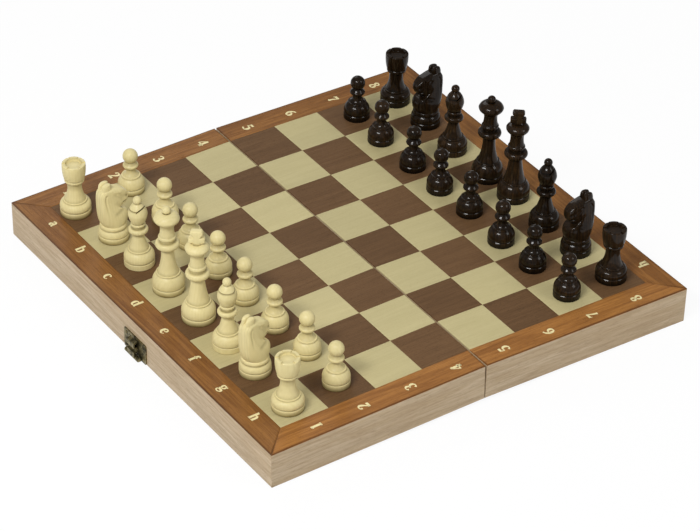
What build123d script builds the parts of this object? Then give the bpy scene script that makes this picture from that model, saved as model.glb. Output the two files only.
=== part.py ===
from build123d import *
import math
import os
from typing import NamedTuple

# A folding chess box, open flat, with its men set up for a game. Millimetres, +Z up.
# X runs from the white end to the black end, Y from file h to file a. The origin is on the
# surface that the box stands on, below the middle of the fold.
#
# Each half is drawn in its own frame: the fold's hinge axis is the local Y axis, local +X points
# away from the fold and local +Z is the way the playing surface faces.

# ---- board ----
SQUARE = 33.0            # side of one square
RANKS_PER_HALF = 4
FILES = 8
BORDER = 18.0            # width of the border round the playing field
VENEER = 0.8             # thickness of the squares and the border strips
PANEL = 3.6              # thickness of the panel under them
FELT = 0.8               # thickness of the lining

# ---- walls of a half box ----
WALL_HEIGHT = 23.8
WALL = 8.0               # thickness of the end and side walls
FOLD_WALL = 9.0          # thickness of the wall beside the fold
REBATE = 4.0             # width of the ledge that the panel lies on
PANEL_PLAY = 0.1         # between the panel's edge and the walls
FELT_PLAY = 0.5          # between the lining's edge and the walls
FOLD_GAP = 0.6           # between the two halves at the fold
RIM_GAP = 0.3            # between the two rims when the box is shut

# ---- butt hinges under the fold ----
HINGE_OFFSET = 92.0      # from the middle of the board to the middle of each hinge
HINGE_LENGTH = 30.0
BARREL_RADIUS = 2.5
PIN_RADIUS = 1.2
PIN_CLEARANCE = 0.05     # radial, in every knuckle
KNUCKLE_GAP = 0.2        # between knuckles, end to end
LEAF = 1.0               # thickness of a leaf
LEAF_REACH = 7.4         # from the hinge axis to the leaf's free edge
LEAF_PLAY = 0.1          # round a leaf in its recess
BARREL_PLAY = 0.4        # between the barrel and the wood beside it
SCREW_SPACING = 17.0     # between the two screws of a leaf
SCREW_FROM_AXIS = 4.9
SCREW_RADIUS = 0.9
SCREW_LENGTH = 9.0
SCREW_HEAD_RADIUS = 1.7
SCREW_SLOT = 0.4         # width and depth of the slot in a head

# ---- clasp on the white end wall, keeper on the black one ----
CLASP_SHIFT = 0.0        # along the wall, from its middle
SHEET = 0.8              # thickness of the clasp's brass sheet
CLASP_WIDTH = 25.0
CLASP_HEIGHT = 14.0
CLASP_ABOVE_RIM = 0.5
CLASP_CORNER = 1.2
TONGUE_WIDTH = 8.0
TONGUE_LENGTH = 10.4     # from the clasp's axis to the lip's root
CLASP_BARREL_RADIUS = 1.5
CLASP_PIN_RADIUS = 0.6
CLASP_KNUCKLE = 3.0      # length of each of the plate's two knuckles
CLASP_BARREL_PROUD = 0.3 # between the plate and the barrel
HOOD_RADIUS = 1.7        # middle radius of the tongue's hood over the keeper's rib
HOOD_CENTRE = 5.4        # from the clasp's axis to the middle of the hood
HOOD_DEPTH = 2.2         # how far the hood stands out from the tongue
LIP = 2.4                # height of the finger lip
LIP_LEAN = 1.0           # how far the lip leans on past its root
KEEPER_HEIGHT = 9.0
RIB_PLAY = 0.3           # between the rib and the hood
RIB_LENGTH = 6.0
NAIL_RADIUS = 0.6
NAIL_LENGTH = 6.0
NAIL_HEAD_RADIUS = 1.3
NAIL_HEAD_HEIGHT = 0.6
NAIL_INSET = 2.6         # from the plate's edge to a nail

# ---- men ----
FOOT_BEVEL = 0.4
FOOT_BAND = 3.8          # height of the plain band at the bottom of every man
FOOT_GROOVE = 0.5        # depth, and half the height, of the groove above it
BELL_BOW = 0.11          # how far the bell's arc bows out, as a share of the foot's radius
BEAD = 1.0               # height of the bead on the bell
BEAD_STEP = 0.5          # from the bead in to the stem
BEAD_BOW = 0.27          # how far a bead bows out, as a share of its height
RING_SHARE = 0.74        # the ring above a collar, as a share of the collar's radius
RING_GAP = 0.45          # between the collar and the ring, as a share of the collar's height
RING_HEIGHT = 0.65       # as a share of the collar's height


class Turning(NamedTuple):
    """The sizes that tell one turned man from another."""

    base: float          # radius of the foot
    shoulder: float      # radius at the top of the bell
    bell: float          # height of the top of the bell
    cove: float          # how deep the stem's hollow is below its chord
    stem: float          # radius of the stem where it is thinnest
    waist: float         # height at which the hollow ends
    neck: float          # height of the collar's underside
    collar: float        # largest radius of the collar
    rise: float          # height of the collar
    crown: float         # height at which the head is widest
    head: float          # largest radius of the head
    height: float        # overall height


KING = Turning(10.4, 7.4, 12.3, 0.45, 4.1, 29.0, 31.0, 7.45, 4.0, 52.0, 7.3, 64.2)
QUEEN = Turning(10.0, 7.2, 12.6, 0.7, 4.0, 28.0, 31.9, 7.5, 4.0, 52.5, 8.0, 60.8)
BISHOP = Turning(9.6, 6.7, 11.0, 0.25, 3.5, 21.0, 23.9, 6.15, 3.2, 37.0, 6.0, 49.4)
ROOK = Turning(9.8, 7.3, 9.6, 0.35, 4.5, 18.5, 23.6, 6.3, 2.2, 35.0, 7.4, 36.9)
PAWN = Turning(8.5, 5.8, 11.2, 0.7, 3.0, 16.5, 17.9, 4.9, 2.4, 25.8, 4.8, 30.6)
KNIGHT_BASE = 9.7
KNIGHT_RING = 8.1        # radius of the edges of the ring under the carved head
KNIGHT_BELL = 9.0        # height of the ring's underside
KNIGHT_SEAT = 12.0       # height of the knight's turned base
KNIGHT_HEIGHT = 42.4
CROSS_WIDTH = 10.0
CROSS_TOP_WIDTH = 7.8    # width of the cross's upright arms at their ends
CROSS_WAIST = 3.8        # width of the cross's arms at its middle
CROSS_LEVEL = 2.9        # height of the middle of the cross's side arms
CROSS_ARM = 3.4          # height of the side arms at their ends
CROSS_THICKNESS = 4.2
CROSS_SEAT = 2.8         # radius of the crown's top, that the cross stands on
CROWN_LIP = 3.1          # from a crown's lower edge up to where it is widest
CROWN_EDGE = 5.7         # radius of that lower edge
CROWN_BOW = 0.5          # how far the flare of a crown bows out
CROWN_WAIST = 4.2        # radius of the stem's thinnest place under the crown
CROWN_WAIST_DROP = 4.2   # from the lower edge down to it
KING_DOME = 2.6          # height of the top of the king's crown above its widest place
QUEEN_DOME = 4.0
FINIAL = 2.7             # radius of the queen's and the bishop's finial ball
FINIAL_SEAT = 2.0        # radius at which the ball sits on the head
ROOK_WELL = 1.8          # depth of the hollow in the rook's top
ROOK_RIM = 2.2           # width of the rim round it
ROOK_CUP = 6.5           # radius of the cup just above the rook's collar
CRENELS = 6
CRENEL_WIDTH = 1.4
CRENEL_DEPTH = 0.6
MITRE_FOOT = 3.9         # radius of the mitre just above the ring
MITRE_SLIT = 0.9         # width of the slit in the bishop's mitre
MITRE_SLANT = 38.0       # its slope in degrees
MITRE_SLIT_RISE = 3.6    # from the mitre's widest place up to the slit's floor
MITRE_SLIT_FLOOR = 0.3   # how far behind the axis the slit ends, as a share of the mitre's radius

# Men that stand a little off the middle of their square, as (away from the fold, sideways, turn).
NUDGES = {
    "a1": (5.9, -3.5, 0.0),
    "c1": (0.8, -1.2, -60.0),
    "d1": (-0.2, -1.6, 0.0),
    "e1": (0.0, 0.0, -38.0),
    "g1": (0.1, -3.2, 12.0),
    "h1": (2.8, 3.2, 0.0),
    "a2": (-2.3, -4.8, 0.0),
    "b2": (-3.5, 1.1, 0.0),
    "c2": (-2.7, -0.3, 0.0),
    "d2": (-1.0, 1.1, 0.0),
    "g2": (-1.7, -0.5, 0.0),
    "a8": (2.1, 1.7, 0.0),
    "b8": (3.7, 2.3, 0.0),
    "c8": (0.0, 0.0, 135.0),
    "d8": (1.2, -3.6, 0.0),
    "e8": (2.3, 2.6, -38.0),
    "f8": (0.0, 0.0, 135.0),
    "h8": (1.3, -1.1, 0.0),
    "a7": (2.9, -0.9, 0.0),
    "c7": (0.2, -2.8, 0.0),
    "e7": (1.3, 2.4, 0.0),
    "f7": (-0.8, -1.2, 0.0),
    "h7": (0.2, -1.7, 0.0),
}

# ---- worked out from the sizes above ----
FOLD_FACE = FOLD_GAP / 2
FIELD_END = FOLD_FACE + RANKS_PER_HALF * SQUARE
END_FACE = FIELD_END + BORDER
HALF_WIDTH = FILES * SQUARE / 2 + BORDER
RIM = RIM_GAP / 2
WALL_TOP = RIM + WALL_HEIGHT
BOARD_TOP = WALL_TOP + VENEER
PANEL_FLOOR = WALL_TOP - PANEL
# Open flat, the box stands on its hinge barrels and on the far edges of its two rims.
DROOP = math.degrees(math.atan2(RIM, END_FACE) + math.asin(BARREL_RADIUS / math.hypot(END_FACE, RIM)))
CLASP_AXIS_OUT = END_FACE + SHEET + CLASP_BARREL_PROUD + CLASP_BARREL_RADIUS
CLASP_AXIS_UP = RIM + CLASP_ABOVE_RIM + CLASP_BARREL_RADIUS
SHEET_RADIUS = CLASP_BARREL_RADIUS - SHEET / 2
BLACK_HALF = Pos(0, 0, BARREL_RADIUS) * Rot(0, DROOP, 0)
WHITE_HALF = Pos(0, 0, BARREL_RADIUS) * Rot(0, -DROOP, 0) * Rot(0, 0, 180)


def block(x, y, z):
    """A box between two limits along each axis."""
    spans = [high - low for low, high in (x, y, z)]
    middles = [(high + low) / 2 for low, high in (x, y, z)]
    return Pos(*middles) * Box(*spans)


def prism(corners, low, high):
    """An upright prism on a polygon in plan."""
    return Pos(0, 0, low) * extrude(make_face(Polyline(*corners, close=True)), high - low, dir=(0, 0, 1))


def bowed(start, end, bulge):
    """An arc from start to end that stands out to the right of the way it runs by the bulge."""
    along = (end[0] - start[0], end[1] - start[1])
    span = math.hypot(*along)
    middle = (
        (start[0] + end[0]) / 2 + along[1] / span * bulge,
        (start[1] + end[1]) / 2 - along[0] / span * bulge,
    )
    return ThreePointArc(start, middle, end)


def outline(rows):
    """A closed flat outline: each row is a point, with a bulge where the way to it is an arc."""
    last = rows[-1][:2]
    edges = []
    for across, up, *bulge in rows:
        here = (across, up)
        edges.append(bowed(last, here, bulge[0]) if bulge else Line(last, here))
        last = here
    return make_face(edges)


def turned(rows):
    """A solid turned about Z from an outline of radii and heights."""
    return revolve(Plane.XZ * outline(rows), Axis.Z)


def dome_bulge(radius, height):
    """The bulge of the arc from a dome's edge to its top, for a dome cut from a ball."""
    ball = (radius**2 + height**2) / (2 * height)
    return ball - math.sqrt(ball**2 - (radius**2 + height**2) / 4)


# ---- one half box ----
def frame_wall(outer_start, outer_end, inner_end, inner_start):
    """One wall between its two mitred corners, with the ledge for the panel cut along its top."""
    wall = prism([outer_start, outer_end, inner_end, inner_start], RIM, WALL_TOP)
    ledge = block(
        (FOLD_FACE + FOLD_WALL - REBATE, END_FACE - WALL + REBATE),
        (-HALF_WIDTH + WALL - REBATE, HALF_WIDTH - WALL + REBATE),
        (PANEL_FLOOR, WALL_TOP + VENEER),
    )
    return wall - ledge


def half_walls():
    """The end wall, the fold wall and the two side walls of one half, plain."""
    outer = [(END_FACE, -HALF_WIDTH), (END_FACE, HALF_WIDTH), (FOLD_FACE, HALF_WIDTH), (FOLD_FACE, -HALF_WIDTH)]
    far, side = END_FACE - WALL, HALF_WIDTH - WALL
    near = FOLD_FACE + FOLD_WALL
    inner = [(far, -side), (far, side), (near, side), (near, -side)]
    walls = [frame_wall(outer[n], outer[(n + 1) % 4], inner[(n + 1) % 4], inner[n]) for n in range(4)]
    return {"end": walls[0], "fold": walls[2], "sides": [walls[1], walls[3]]}


def panel():
    """The panel that lies on the ledges of the four walls."""
    return block(
        (FOLD_FACE + FOLD_WALL - REBATE + PANEL_PLAY, END_FACE - WALL + REBATE - PANEL_PLAY),
        (-HALF_WIDTH + WALL - REBATE + PANEL_PLAY, HALF_WIDTH - WALL + REBATE - PANEL_PLAY),
        (PANEL_FLOOR, WALL_TOP),
    )


def felt_lining():
    """The felt glued to the panel's inner face."""
    return block(
        (FOLD_FACE + FOLD_WALL + FELT_PLAY, END_FACE - WALL - FELT_PLAY),
        (-HALF_WIDTH + WALL + FELT_PLAY, HALF_WIDTH - WALL - FELT_PLAY),
        (PANEL_FLOOR - FELT, PANEL_FLOOR),
    )


def squares(dark):
    """The light or the dark squares of one half."""
    found = []
    for rank in range(RANKS_PER_HALF):
        for file in range(FILES):
            if (rank + file) % 2 == int(dark):
                low_x = FOLD_FACE + rank * SQUARE
                low_y = (file - FILES / 2) * SQUARE
                found.append(block((low_x, low_x + SQUARE), (low_y, low_y + SQUARE), (WALL_TOP, BOARD_TOP)))
    return found


def border_strips():
    """The three border strips of one half, mitred at the outer corners."""
    field = HALF_WIDTH - BORDER
    end = [(END_FACE, -HALF_WIDTH), (END_FACE, HALF_WIDTH), (FIELD_END, field), (FIELD_END, -field)]
    side = [(FOLD_FACE, HALF_WIDTH), (END_FACE, HALF_WIDTH), (FIELD_END, field), (FOLD_FACE, field)]
    other_side = [(x, -y) for x, y in side]
    return [prism(corners, WALL_TOP, BOARD_TOP) for corners in (end, side, other_side)]


# ---- hinges ----
def countersunk():
    """A slotted countersunk screw at the origin, its head's face at zero and its shank along +Z."""
    rows = [
        (0, 0),
        (SCREW_HEAD_RADIUS, 0),
        (SCREW_RADIUS, SCREW_RADIUS - SCREW_HEAD_RADIUS),
        (SCREW_RADIUS, SCREW_RADIUS - SCREW_LENGTH),
        (0, -SCREW_LENGTH),
    ]
    screw = turned(rows)
    slot = Box(2 * SCREW_HEAD_RADIUS + SCREW_SLOT, SCREW_SLOT, 2 * SCREW_SLOT)
    return Rot(180, 0, 0) * (screw - slot)


def screw_hole(extra):
    """The room that a screw takes up, head down, as much wider as asked."""
    rows = [
        (0, -SCREW_SLOT),
        (SCREW_HEAD_RADIUS + extra, -SCREW_SLOT),
        (SCREW_HEAD_RADIUS + extra, 0),
        (SCREW_RADIUS + extra, SCREW_HEAD_RADIUS - SCREW_RADIUS),
        (SCREW_RADIUS + extra, SCREW_LENGTH + extra),
        (0, SCREW_LENGTH + extra),
    ]
    return turned(rows)


def screw_places():
    """Where the screws of one half's hinges stand, in that half's frame."""
    return [
        Pos(SCREW_FROM_AXIS, sign * HINGE_OFFSET + step * SCREW_SPACING / 2, RIM)
        for sign in (-1, 1)
        for step in (-1, 1)
    ]


def knuckle_spans():
    """The three knuckles of a hinge as limits along Y, the middle one second."""
    third = HINGE_LENGTH / 3
    starts = [-HINGE_LENGTH / 2 + n * third for n in range(3)]
    return [(start + KNUCKLE_GAP / 2, start + third - KNUCKLE_GAP / 2) for start in starts]


def barrel(radius, span):
    """A cylinder about the Y axis between two limits."""
    low, high = span
    return Pos(0, (low + high) / 2, 0) * Rot(90, 0, 0) * Cylinder(radius, high - low)


def hinge_leaf(own, others):
    """One leaf with its own knuckles, cut back from the other leaf's knuckles and bored for the pin."""
    leaf = block((0, LEAF_REACH), (-HINGE_LENGTH / 2, HINGE_LENGTH / 2), (RIM, RIM + LEAF))
    for span in others:
        room = (span[0] - KNUCKLE_GAP, span[1] + KNUCKLE_GAP)
        leaf = leaf - barrel(BARREL_RADIUS + BARREL_PLAY, room)
    for span in own:
        leaf = leaf + barrel(BARREL_RADIUS, span)
    leaf = leaf - barrel(PIN_RADIUS + PIN_CLEARANCE, (-HINGE_LENGTH, HINGE_LENGTH))
    for step in (-1, 1):
        leaf = leaf - Pos(SCREW_FROM_AXIS, step * SCREW_SPACING / 2, RIM) * screw_hole(PIN_CLEARANCE)
    return leaf


def hinge_recess():
    """What one hinge takes out of the fold wall: the leaf's bed and the barrel's notch."""
    half = HINGE_LENGTH / 2 + LEAF_PLAY
    bed = block((0, LEAF_REACH + LEAF_PLAY), (-half, half), (-BARREL_RADIUS, RIM + LEAF))
    notch = BARREL_RADIUS + BARREL_PLAY
    return bed + block((0, notch), (-half, half), (-BARREL_RADIUS, notch))


def hinged_fold_wall(wall):
    """The fold wall with its hinge recesses and screw holes."""
    for sign in (-1, 1):
        wall = wall - Pos(0, sign * HINGE_OFFSET, 0) * hinge_recess()
    for place in screw_places():
        wall = wall - place * screw_hole(PIN_CLEARANCE)
    return wall


# ---- clasp ----
def nail():
    """A round-headed nail at the origin, its head out along +X."""
    rows = [
        (0, -NAIL_LENGTH),
        (NAIL_RADIUS, -NAIL_LENGTH + NAIL_RADIUS),
        (NAIL_RADIUS, 0),
        (NAIL_HEAD_RADIUS, 0),
        (0, NAIL_HEAD_HEIGHT, dome_bulge(NAIL_HEAD_RADIUS, NAIL_HEAD_HEIGHT)),
    ]
    return Rot(0, 90, 0) * turned(rows)


def nail_hole():
    """The room for a nail's shank."""
    radius = NAIL_RADIUS + PIN_CLEARANCE
    rows = [(0, -NAIL_LENGTH - PIN_CLEARANCE), (radius, -NAIL_LENGTH - PIN_CLEARANCE), (radius, SHEET), (0, SHEET)]
    return Rot(0, 90, 0) * turned(rows)


def nail_places(height, shift):
    """Where the nails of a plate of this height stand: one near each upper and lower corner."""
    across = CLASP_WIDTH / 2 - NAIL_INSET
    low = RIM + CLASP_ABOVE_RIM + NAIL_INSET
    high = RIM + CLASP_ABOVE_RIM + height - NAIL_INSET
    return [Pos(END_FACE + SHEET, shift + sign * across, up) for sign in (-1, 1) for up in (low, high)]


def backed_plate(height, shift):
    """A brass plate on the end wall, with rounded corners and nail holes."""
    plate = block(
        (END_FACE, END_FACE + SHEET),
        (shift - CLASP_WIDTH / 2, shift + CLASP_WIDTH / 2),
        (RIM + CLASP_ABOVE_RIM, RIM + CLASP_ABOVE_RIM + height),
    )
    plate = fillet(plate.edges().filter_by(Axis.X), CLASP_CORNER)
    for place in nail_places(height, shift):
        plate = plate - place * nail_hole()
    return plate


def clasp_knuckle_spans():
    """The plate's two knuckles, one each side of the tongue's."""
    near = TONGUE_WIDTH / 2 + KNUCKLE_GAP
    return [(-near - CLASP_KNUCKLE, -near), (near, near + CLASP_KNUCKLE)]


def at_clasp_axis(shape, shift):
    """Moves a shape from the origin to the clasp's hinge axis."""
    return Pos(CLASP_AXIS_OUT, shift, CLASP_AXIS_UP) * shape


def clasp_plate(shift):
    """The plate with its two knuckles, rolled out of its lower edge."""
    plate = backed_plate(CLASP_HEIGHT, shift)
    for span in clasp_knuckle_spans():
        web = block(
            (END_FACE - CLASP_AXIS_OUT, 0),
            span,
            (-CLASP_BARREL_RADIUS, SHEET - CLASP_BARREL_RADIUS),
        )
        plate = plate + at_clasp_axis(barrel(CLASP_BARREL_RADIUS, span) + web, shift)
    bore = barrel(CLASP_PIN_RADIUS + PIN_CLEARANCE, (-CLASP_WIDTH, CLASP_WIDTH))
    return plate - at_clasp_axis(bore, shift)


def clasp_tongue(shift):
    """The tongue, folded up: knuckle, flat, a hood that bows towards the plate, and a finger lip."""
    mouth = math.sqrt(HOOD_RADIUS**2 - (HOOD_DEPTH - HOOD_RADIUS) ** 2)
    flat = SHEET_RADIUS
    width = (-TONGUE_WIDTH / 2, TONGUE_WIDTH / 2)
    tongue = barrel(CLASP_BARREL_RADIUS, width)
    hood_middle = flat - (HOOD_DEPTH - HOOD_RADIUS)
    tongue = tongue + block((flat - SHEET / 2, flat + SHEET / 2), width, (0, HOOD_CENTRE - mouth))
    hood = barrel(HOOD_RADIUS + SHEET / 2, width) - barrel(HOOD_RADIUS - SHEET / 2, width)
    behind = block((-HOOD_RADIUS - SHEET, flat - hood_middle), width, (-HOOD_RADIUS - SHEET, HOOD_RADIUS + SHEET))
    tongue = tongue + Pos(hood_middle, 0, HOOD_CENTRE) * (hood & behind)
    tongue = tongue + block((flat - SHEET / 2, flat + SHEET / 2), width, (HOOD_CENTRE + mouth, TONGUE_LENGTH))
    lip = [
        (flat - SHEET / 2, TONGUE_LENGTH - SHEET),
        (flat + SHEET / 2, TONGUE_LENGTH - SHEET),
        (flat + SHEET / 2, TONGUE_LENGTH),
        (flat - LIP, TONGUE_LENGTH + LIP_LEAN),
        (flat - LIP, TONGUE_LENGTH + LIP_LEAN - SHEET),
    ]
    profile = Plane.XZ * make_face(Polyline(*lip, close=True))
    tongue = tongue + extrude(profile, TONGUE_WIDTH / 2, both=True)
    bore = barrel(CLASP_PIN_RADIUS + PIN_CLEARANCE, (-CLASP_WIDTH, CLASP_WIDTH))
    return at_clasp_axis(tongue - bore, shift)


def clasp_pin(shift):
    """The pin through the clasp's three knuckles."""
    reach = TONGUE_WIDTH / 2 + KNUCKLE_GAP + CLASP_KNUCKLE
    return at_clasp_axis(barrel(CLASP_PIN_RADIUS, (-reach, reach)), shift)


def keeper_plate(shift):
    """The keeper, whose rib the tongue's hood closes over."""
    plate = backed_plate(KEEPER_HEIGHT, shift)
    radius = HOOD_RADIUS - SHEET / 2 - RIB_PLAY
    # When the box is shut the tongue hangs below its axis, and the black rim faces the white one.
    out = CLASP_AXIS_OUT - SHEET_RADIUS + (HOOD_DEPTH - HOOD_RADIUS)
    up = HOOD_CENTRE - CLASP_AXIS_UP
    span = (-RIB_LENGTH / 2, RIB_LENGTH / 2)
    rib = Pos(out, shift, up) * barrel(radius, span)
    neck = block((END_FACE + SHEET / 2, out), (shift + span[0], shift + span[1]), (up - radius / 2, up + radius / 2))
    return plate + rib + neck


# ---- men ----
def base_rows(radius):
    """The foot, its plain band and the groove above the band."""
    lip = radius - FOOT_GROOVE / 5
    return [
        (0, 0),
        (radius - FOOT_BEVEL, 0),
        (radius, FOOT_BEVEL),
        (radius, FOOT_BAND),
        (radius - FOOT_GROOVE, FOOT_BAND + FOOT_GROOVE),
        (lip, FOOT_BAND + 2 * FOOT_GROOVE),
    ]


def foot_rows(man):
    """The foot, the bell above it, the bead on the bell and the stem, for any turned man."""
    return base_rows(man.base) + [
        (man.shoulder, man.bell, man.base * BELL_BOW),
        (man.shoulder, man.bell + BEAD, BEAD * BEAD_BOW),
        (man.shoulder - BEAD_STEP, man.bell + BEAD),
        (man.stem, man.waist, -man.cove),
        (man.stem, man.neck),
    ]


def bead_rows(radius, low, height):
    """A bead of a largest radius, from a height up."""
    bow = height * BEAD_BOW
    return [(radius - bow, low), (radius - bow, low + height, bow)]


def ring_top(man):
    """The height of the top of the ring above a man's collar."""
    return man.neck + man.rise * (1 + RING_GAP + RING_HEIGHT)


def collar_rows(man):
    """The collar at the neck, and the smaller ring above it."""
    ring = man.collar * RING_SHARE
    height = man.rise * RING_HEIGHT
    low = ring_top(man) - height
    between = ring - 2 * height * BEAD_BOW / 2
    collar = bead_rows(man.collar, man.neck, man.rise)
    return collar + [(between, man.neck + man.rise), (between, low)] + bead_rows(ring, low, height)[1:]


def ball_rows(radius, seat, top):
    """A ball with its top at a height, from the small radius that it sits on."""
    middle = top - radius
    start = middle - math.sqrt(radius**2 - seat**2)
    return [(seat, start), (radius, middle, ball_bulge(radius, seat)), (0, top, radius * (1 - math.sqrt(0.5)))]


def ball_bulge(radius, seat):
    """How far a ball's lower arc stands out from its chord."""
    drop = math.sqrt(radius**2 - seat**2)
    chord = math.hypot(radius - seat, drop)
    return radius - math.sqrt(radius**2 - chord**2 / 4)


def pawn():
    """A pawn."""
    man = PAWN
    rows = foot_rows(man) + bead_rows(man.collar, man.neck, man.rise)
    return turned(rows + ball_rows(man.head, man.stem, man.height))


def rook():
    """A rook, with a hollow top and shallow crenels."""
    man = ROOK
    top = man.height
    well = man.head - ROOK_RIM
    cup = man.neck + man.rise
    rows = foot_rows(man) + bead_rows(man.collar, man.neck, man.rise) + [
        (ROOK_CUP, cup + FOOT_BEVEL),
        (man.head, top - FOOT_BEVEL, FOOT_BEVEL),
        (man.head - FOOT_BEVEL, top),
        (well, top),
        (well - FOOT_BEVEL, top - ROOK_WELL),
        (0, top - ROOK_WELL),
    ]
    tower = turned(rows)
    for n in range(CRENELS):
        cut = block((0, man.head * 2), (-CRENEL_WIDTH / 2, CRENEL_WIDTH / 2), (top - CRENEL_DEPTH, top + 1))
        tower = tower - Rot(0, 0, (n + 0.5) * 360 / CRENELS) * cut
    return tower


def bishop():
    """A bishop, with a slit mitre and a ball on top."""
    man = BISHOP
    top = ring_top(man)
    ball = ball_rows(FINIAL, FINIAL_SEAT, man.height)
    rows = foot_rows(man) + collar_rows(man) + [
        (MITRE_FOOT, top),
        (man.head, man.crown, man.head * 0.06),
        (FINIAL_SEAT, ball[0][1], man.head * 0.15),
    ]
    mitre = turned(rows + ball[1:])
    slit = Pos(-2 * man.head, 0, 0) * Box(4 * man.head, 4 * man.head, MITRE_SLIT)
    floor = Pos(-man.head * MITRE_SLIT_FLOOR, 0, man.crown + MITRE_SLIT_RISE)
    return mitre - floor * Rot(0, MITRE_SLANT, 0) * slit


def crown_rows(man):
    """The stem above the ring, and the flare of the crown up to where it is widest."""
    edge = man.crown - CROWN_LIP
    return [
        (CROWN_WAIST, edge - CROWN_WAIST_DROP, -0.15),
        (CROWN_EDGE, edge, -0.45),
        (man.head, man.crown, CROWN_BOW),
    ]


def queen():
    """A queen, with a domed crown and a ball on top."""
    man = QUEEN
    ball = ball_rows(FINIAL, FINIAL_SEAT, man.height)
    dome = [(FINIAL_SEAT, ball[0][1], QUEEN_DOME / 3)]
    return turned(foot_rows(man) + collar_rows(man) + crown_rows(man) + dome + ball[1:])


def king_cross():
    """The king's cross, its arms along X, standing on the origin."""
    arm, waist, end = CROSS_WIDTH / 2, CROSS_WAIST / 2, CROSS_TOP_WIDTH / 2
    tall = KING.height - KING.crown - KING_DOME
    right = [
        (CROSS_SEAT, 0),
        (waist, CROSS_LEVEL - waist),
        (arm, CROSS_LEVEL - CROSS_ARM / 2),
        (arm, CROSS_LEVEL + CROSS_ARM / 2),
        (waist, CROSS_LEVEL + waist),
        (end, tall - CROSS_ARM / 2),
        (end * 0.8, tall),
    ]
    left = [(-x, z) for x, z in reversed(right)]
    profile = Plane.XZ * make_face(Polyline(*right, *left, close=True))
    return extrude(profile, CROSS_THICKNESS / 2, both=True)


def king():
    """A king, with a domed crown and a cross."""
    man = KING
    seat = man.crown + KING_DOME
    rows = foot_rows(man) + collar_rows(man) + crown_rows(man) + [(CROSS_SEAT, seat, KING_DOME / 3), (0, seat)]
    return turned(rows) + Pos(0, 0, seat) * king_cross()


def knight():
    """A knight that looks along -X: a carved head on a turned base."""
    base = turned(base_rows(KNIGHT_BASE) + [
        (KNIGHT_RING, KNIGHT_BELL, KNIGHT_BASE * BELL_BOW / 2),
        (KNIGHT_RING, KNIGHT_SEAT - BEAD_STEP, BEAD_STEP),
        (KNIGHT_RING - BEAD_STEP, KNIGHT_SEAT),
        (0, KNIGHT_SEAT),
    ])
    tall = KNIGHT_HEIGHT - KNIGHT_SEAT
    # Forward distance and height above the base, from the back of the neck over the ears to the chest.
    rows = [
        (-10.0, 0),
        (-10.0, 23.6),
        (-8.6, 26.4, 0.3),
        (-4.9, tall, 1.1),
        (-1.2, 26.7, 1.1),
        (4.4, 25.0),
        (9.3, 20.8, 0.8),
        (9.0, 14.3, 0.7),
        (4.2, 10.6),
        (10.0, 4.6, 1.2),
        (10.0, 0),
    ]
    side = outline([(-ahead, up, *bulge) for ahead, up, *bulge in rows])
    carved = extrude(Plane.XZ * side, KNIGHT_BASE, both=True)
    front = [(8.6, 0), (7.8, 4.0), (6.6, 8.0), (5.2, 12.0), (4.7, 17.0), (4.5, 25.0), (4.2, 28.0), (3.0, tall + 2.0)]
    front = front + [(-y, z) for y, z in reversed(front)]
    taper = extrude(Plane.YZ * make_face(Polyline(*front, close=True)), 2 * KNIGHT_BASE, both=True)
    trunk = turned([(0, 0), (7.4, 0), (9.6, 6.0, 0.4), (10.6, 12.0), (12.0, tall + 1), (0, tall + 1)])
    ears = Pos(4.9, 0, tall + 0.6) * Rot(45, 0, 0) * Box(KNIGHT_BASE, 2.5, 2.5)
    return base + Pos(0, 0, KNIGHT_SEAT) * ((carved & taper & trunk) - ears)


BACK_RANK = ["rook", "knight", "bishop", "queen", "king", "bishop", "knight", "rook"]
CARVERS = {"king": king, "queen": queen, "bishop": bishop, "knight": knight, "rook": rook, "pawn": pawn}


def men():
    """Every man's node name and solid, each in its half's frame with the half's placement."""
    shapes = {kind: carve() for kind, carve in CARVERS.items()}
    found = {}
    for colour, half, back, front, sign in (("white", WHITE_HALF, 1, 2, -1), ("black", BLACK_HALF, 8, 7, 1)):
        for file, officer in enumerate(BACK_RANK):
            letter = "abcdefgh"[file]
            for kind, number, row in ((officer, back, 0.5), ("pawn", front, 1.5)):
                out, aside, turn = NUDGES.get(f"{letter}{number}", (0.0, 0.0, 0.0))
                place = Pos(
                    FIELD_END - row * SQUARE + out,
                    sign * ((FILES - 1) / 2 - file) * SQUARE + aside,
                    BOARD_TOP,
                )
                name = f"{colour}_{kind}_{letter}{number}"
                found[name] = half * place * Rot(0, 0, turn) * shapes[kind]
    return found


def half_box():
    """The wooden pieces and the lining of one half."""
    walls = half_walls()
    return {
        "end_wall": walls["end"],
        "fold_wall": hinged_fold_wall(walls["fold"]),
        "side_walls": walls["sides"],
        "panel": panel(),
        "felt_lining": felt_lining(),
        "light_squares": squares(False),
        "dark_squares": squares(True),
        "border_strips": border_strips(),
    }


def bored(wall, height, shift):
    """An end wall with the nail holes of the plate that it carries."""
    for place in nail_places(height, shift):
        wall = wall - place * nail_hole()
    return wall


def placed(half, shape):
    """A shape or a list of shapes moved from a half's frame to where that half lies."""
    if isinstance(shape, list):
        return Compound(children=[half * one for one in shape])
    return half * shape


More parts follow.
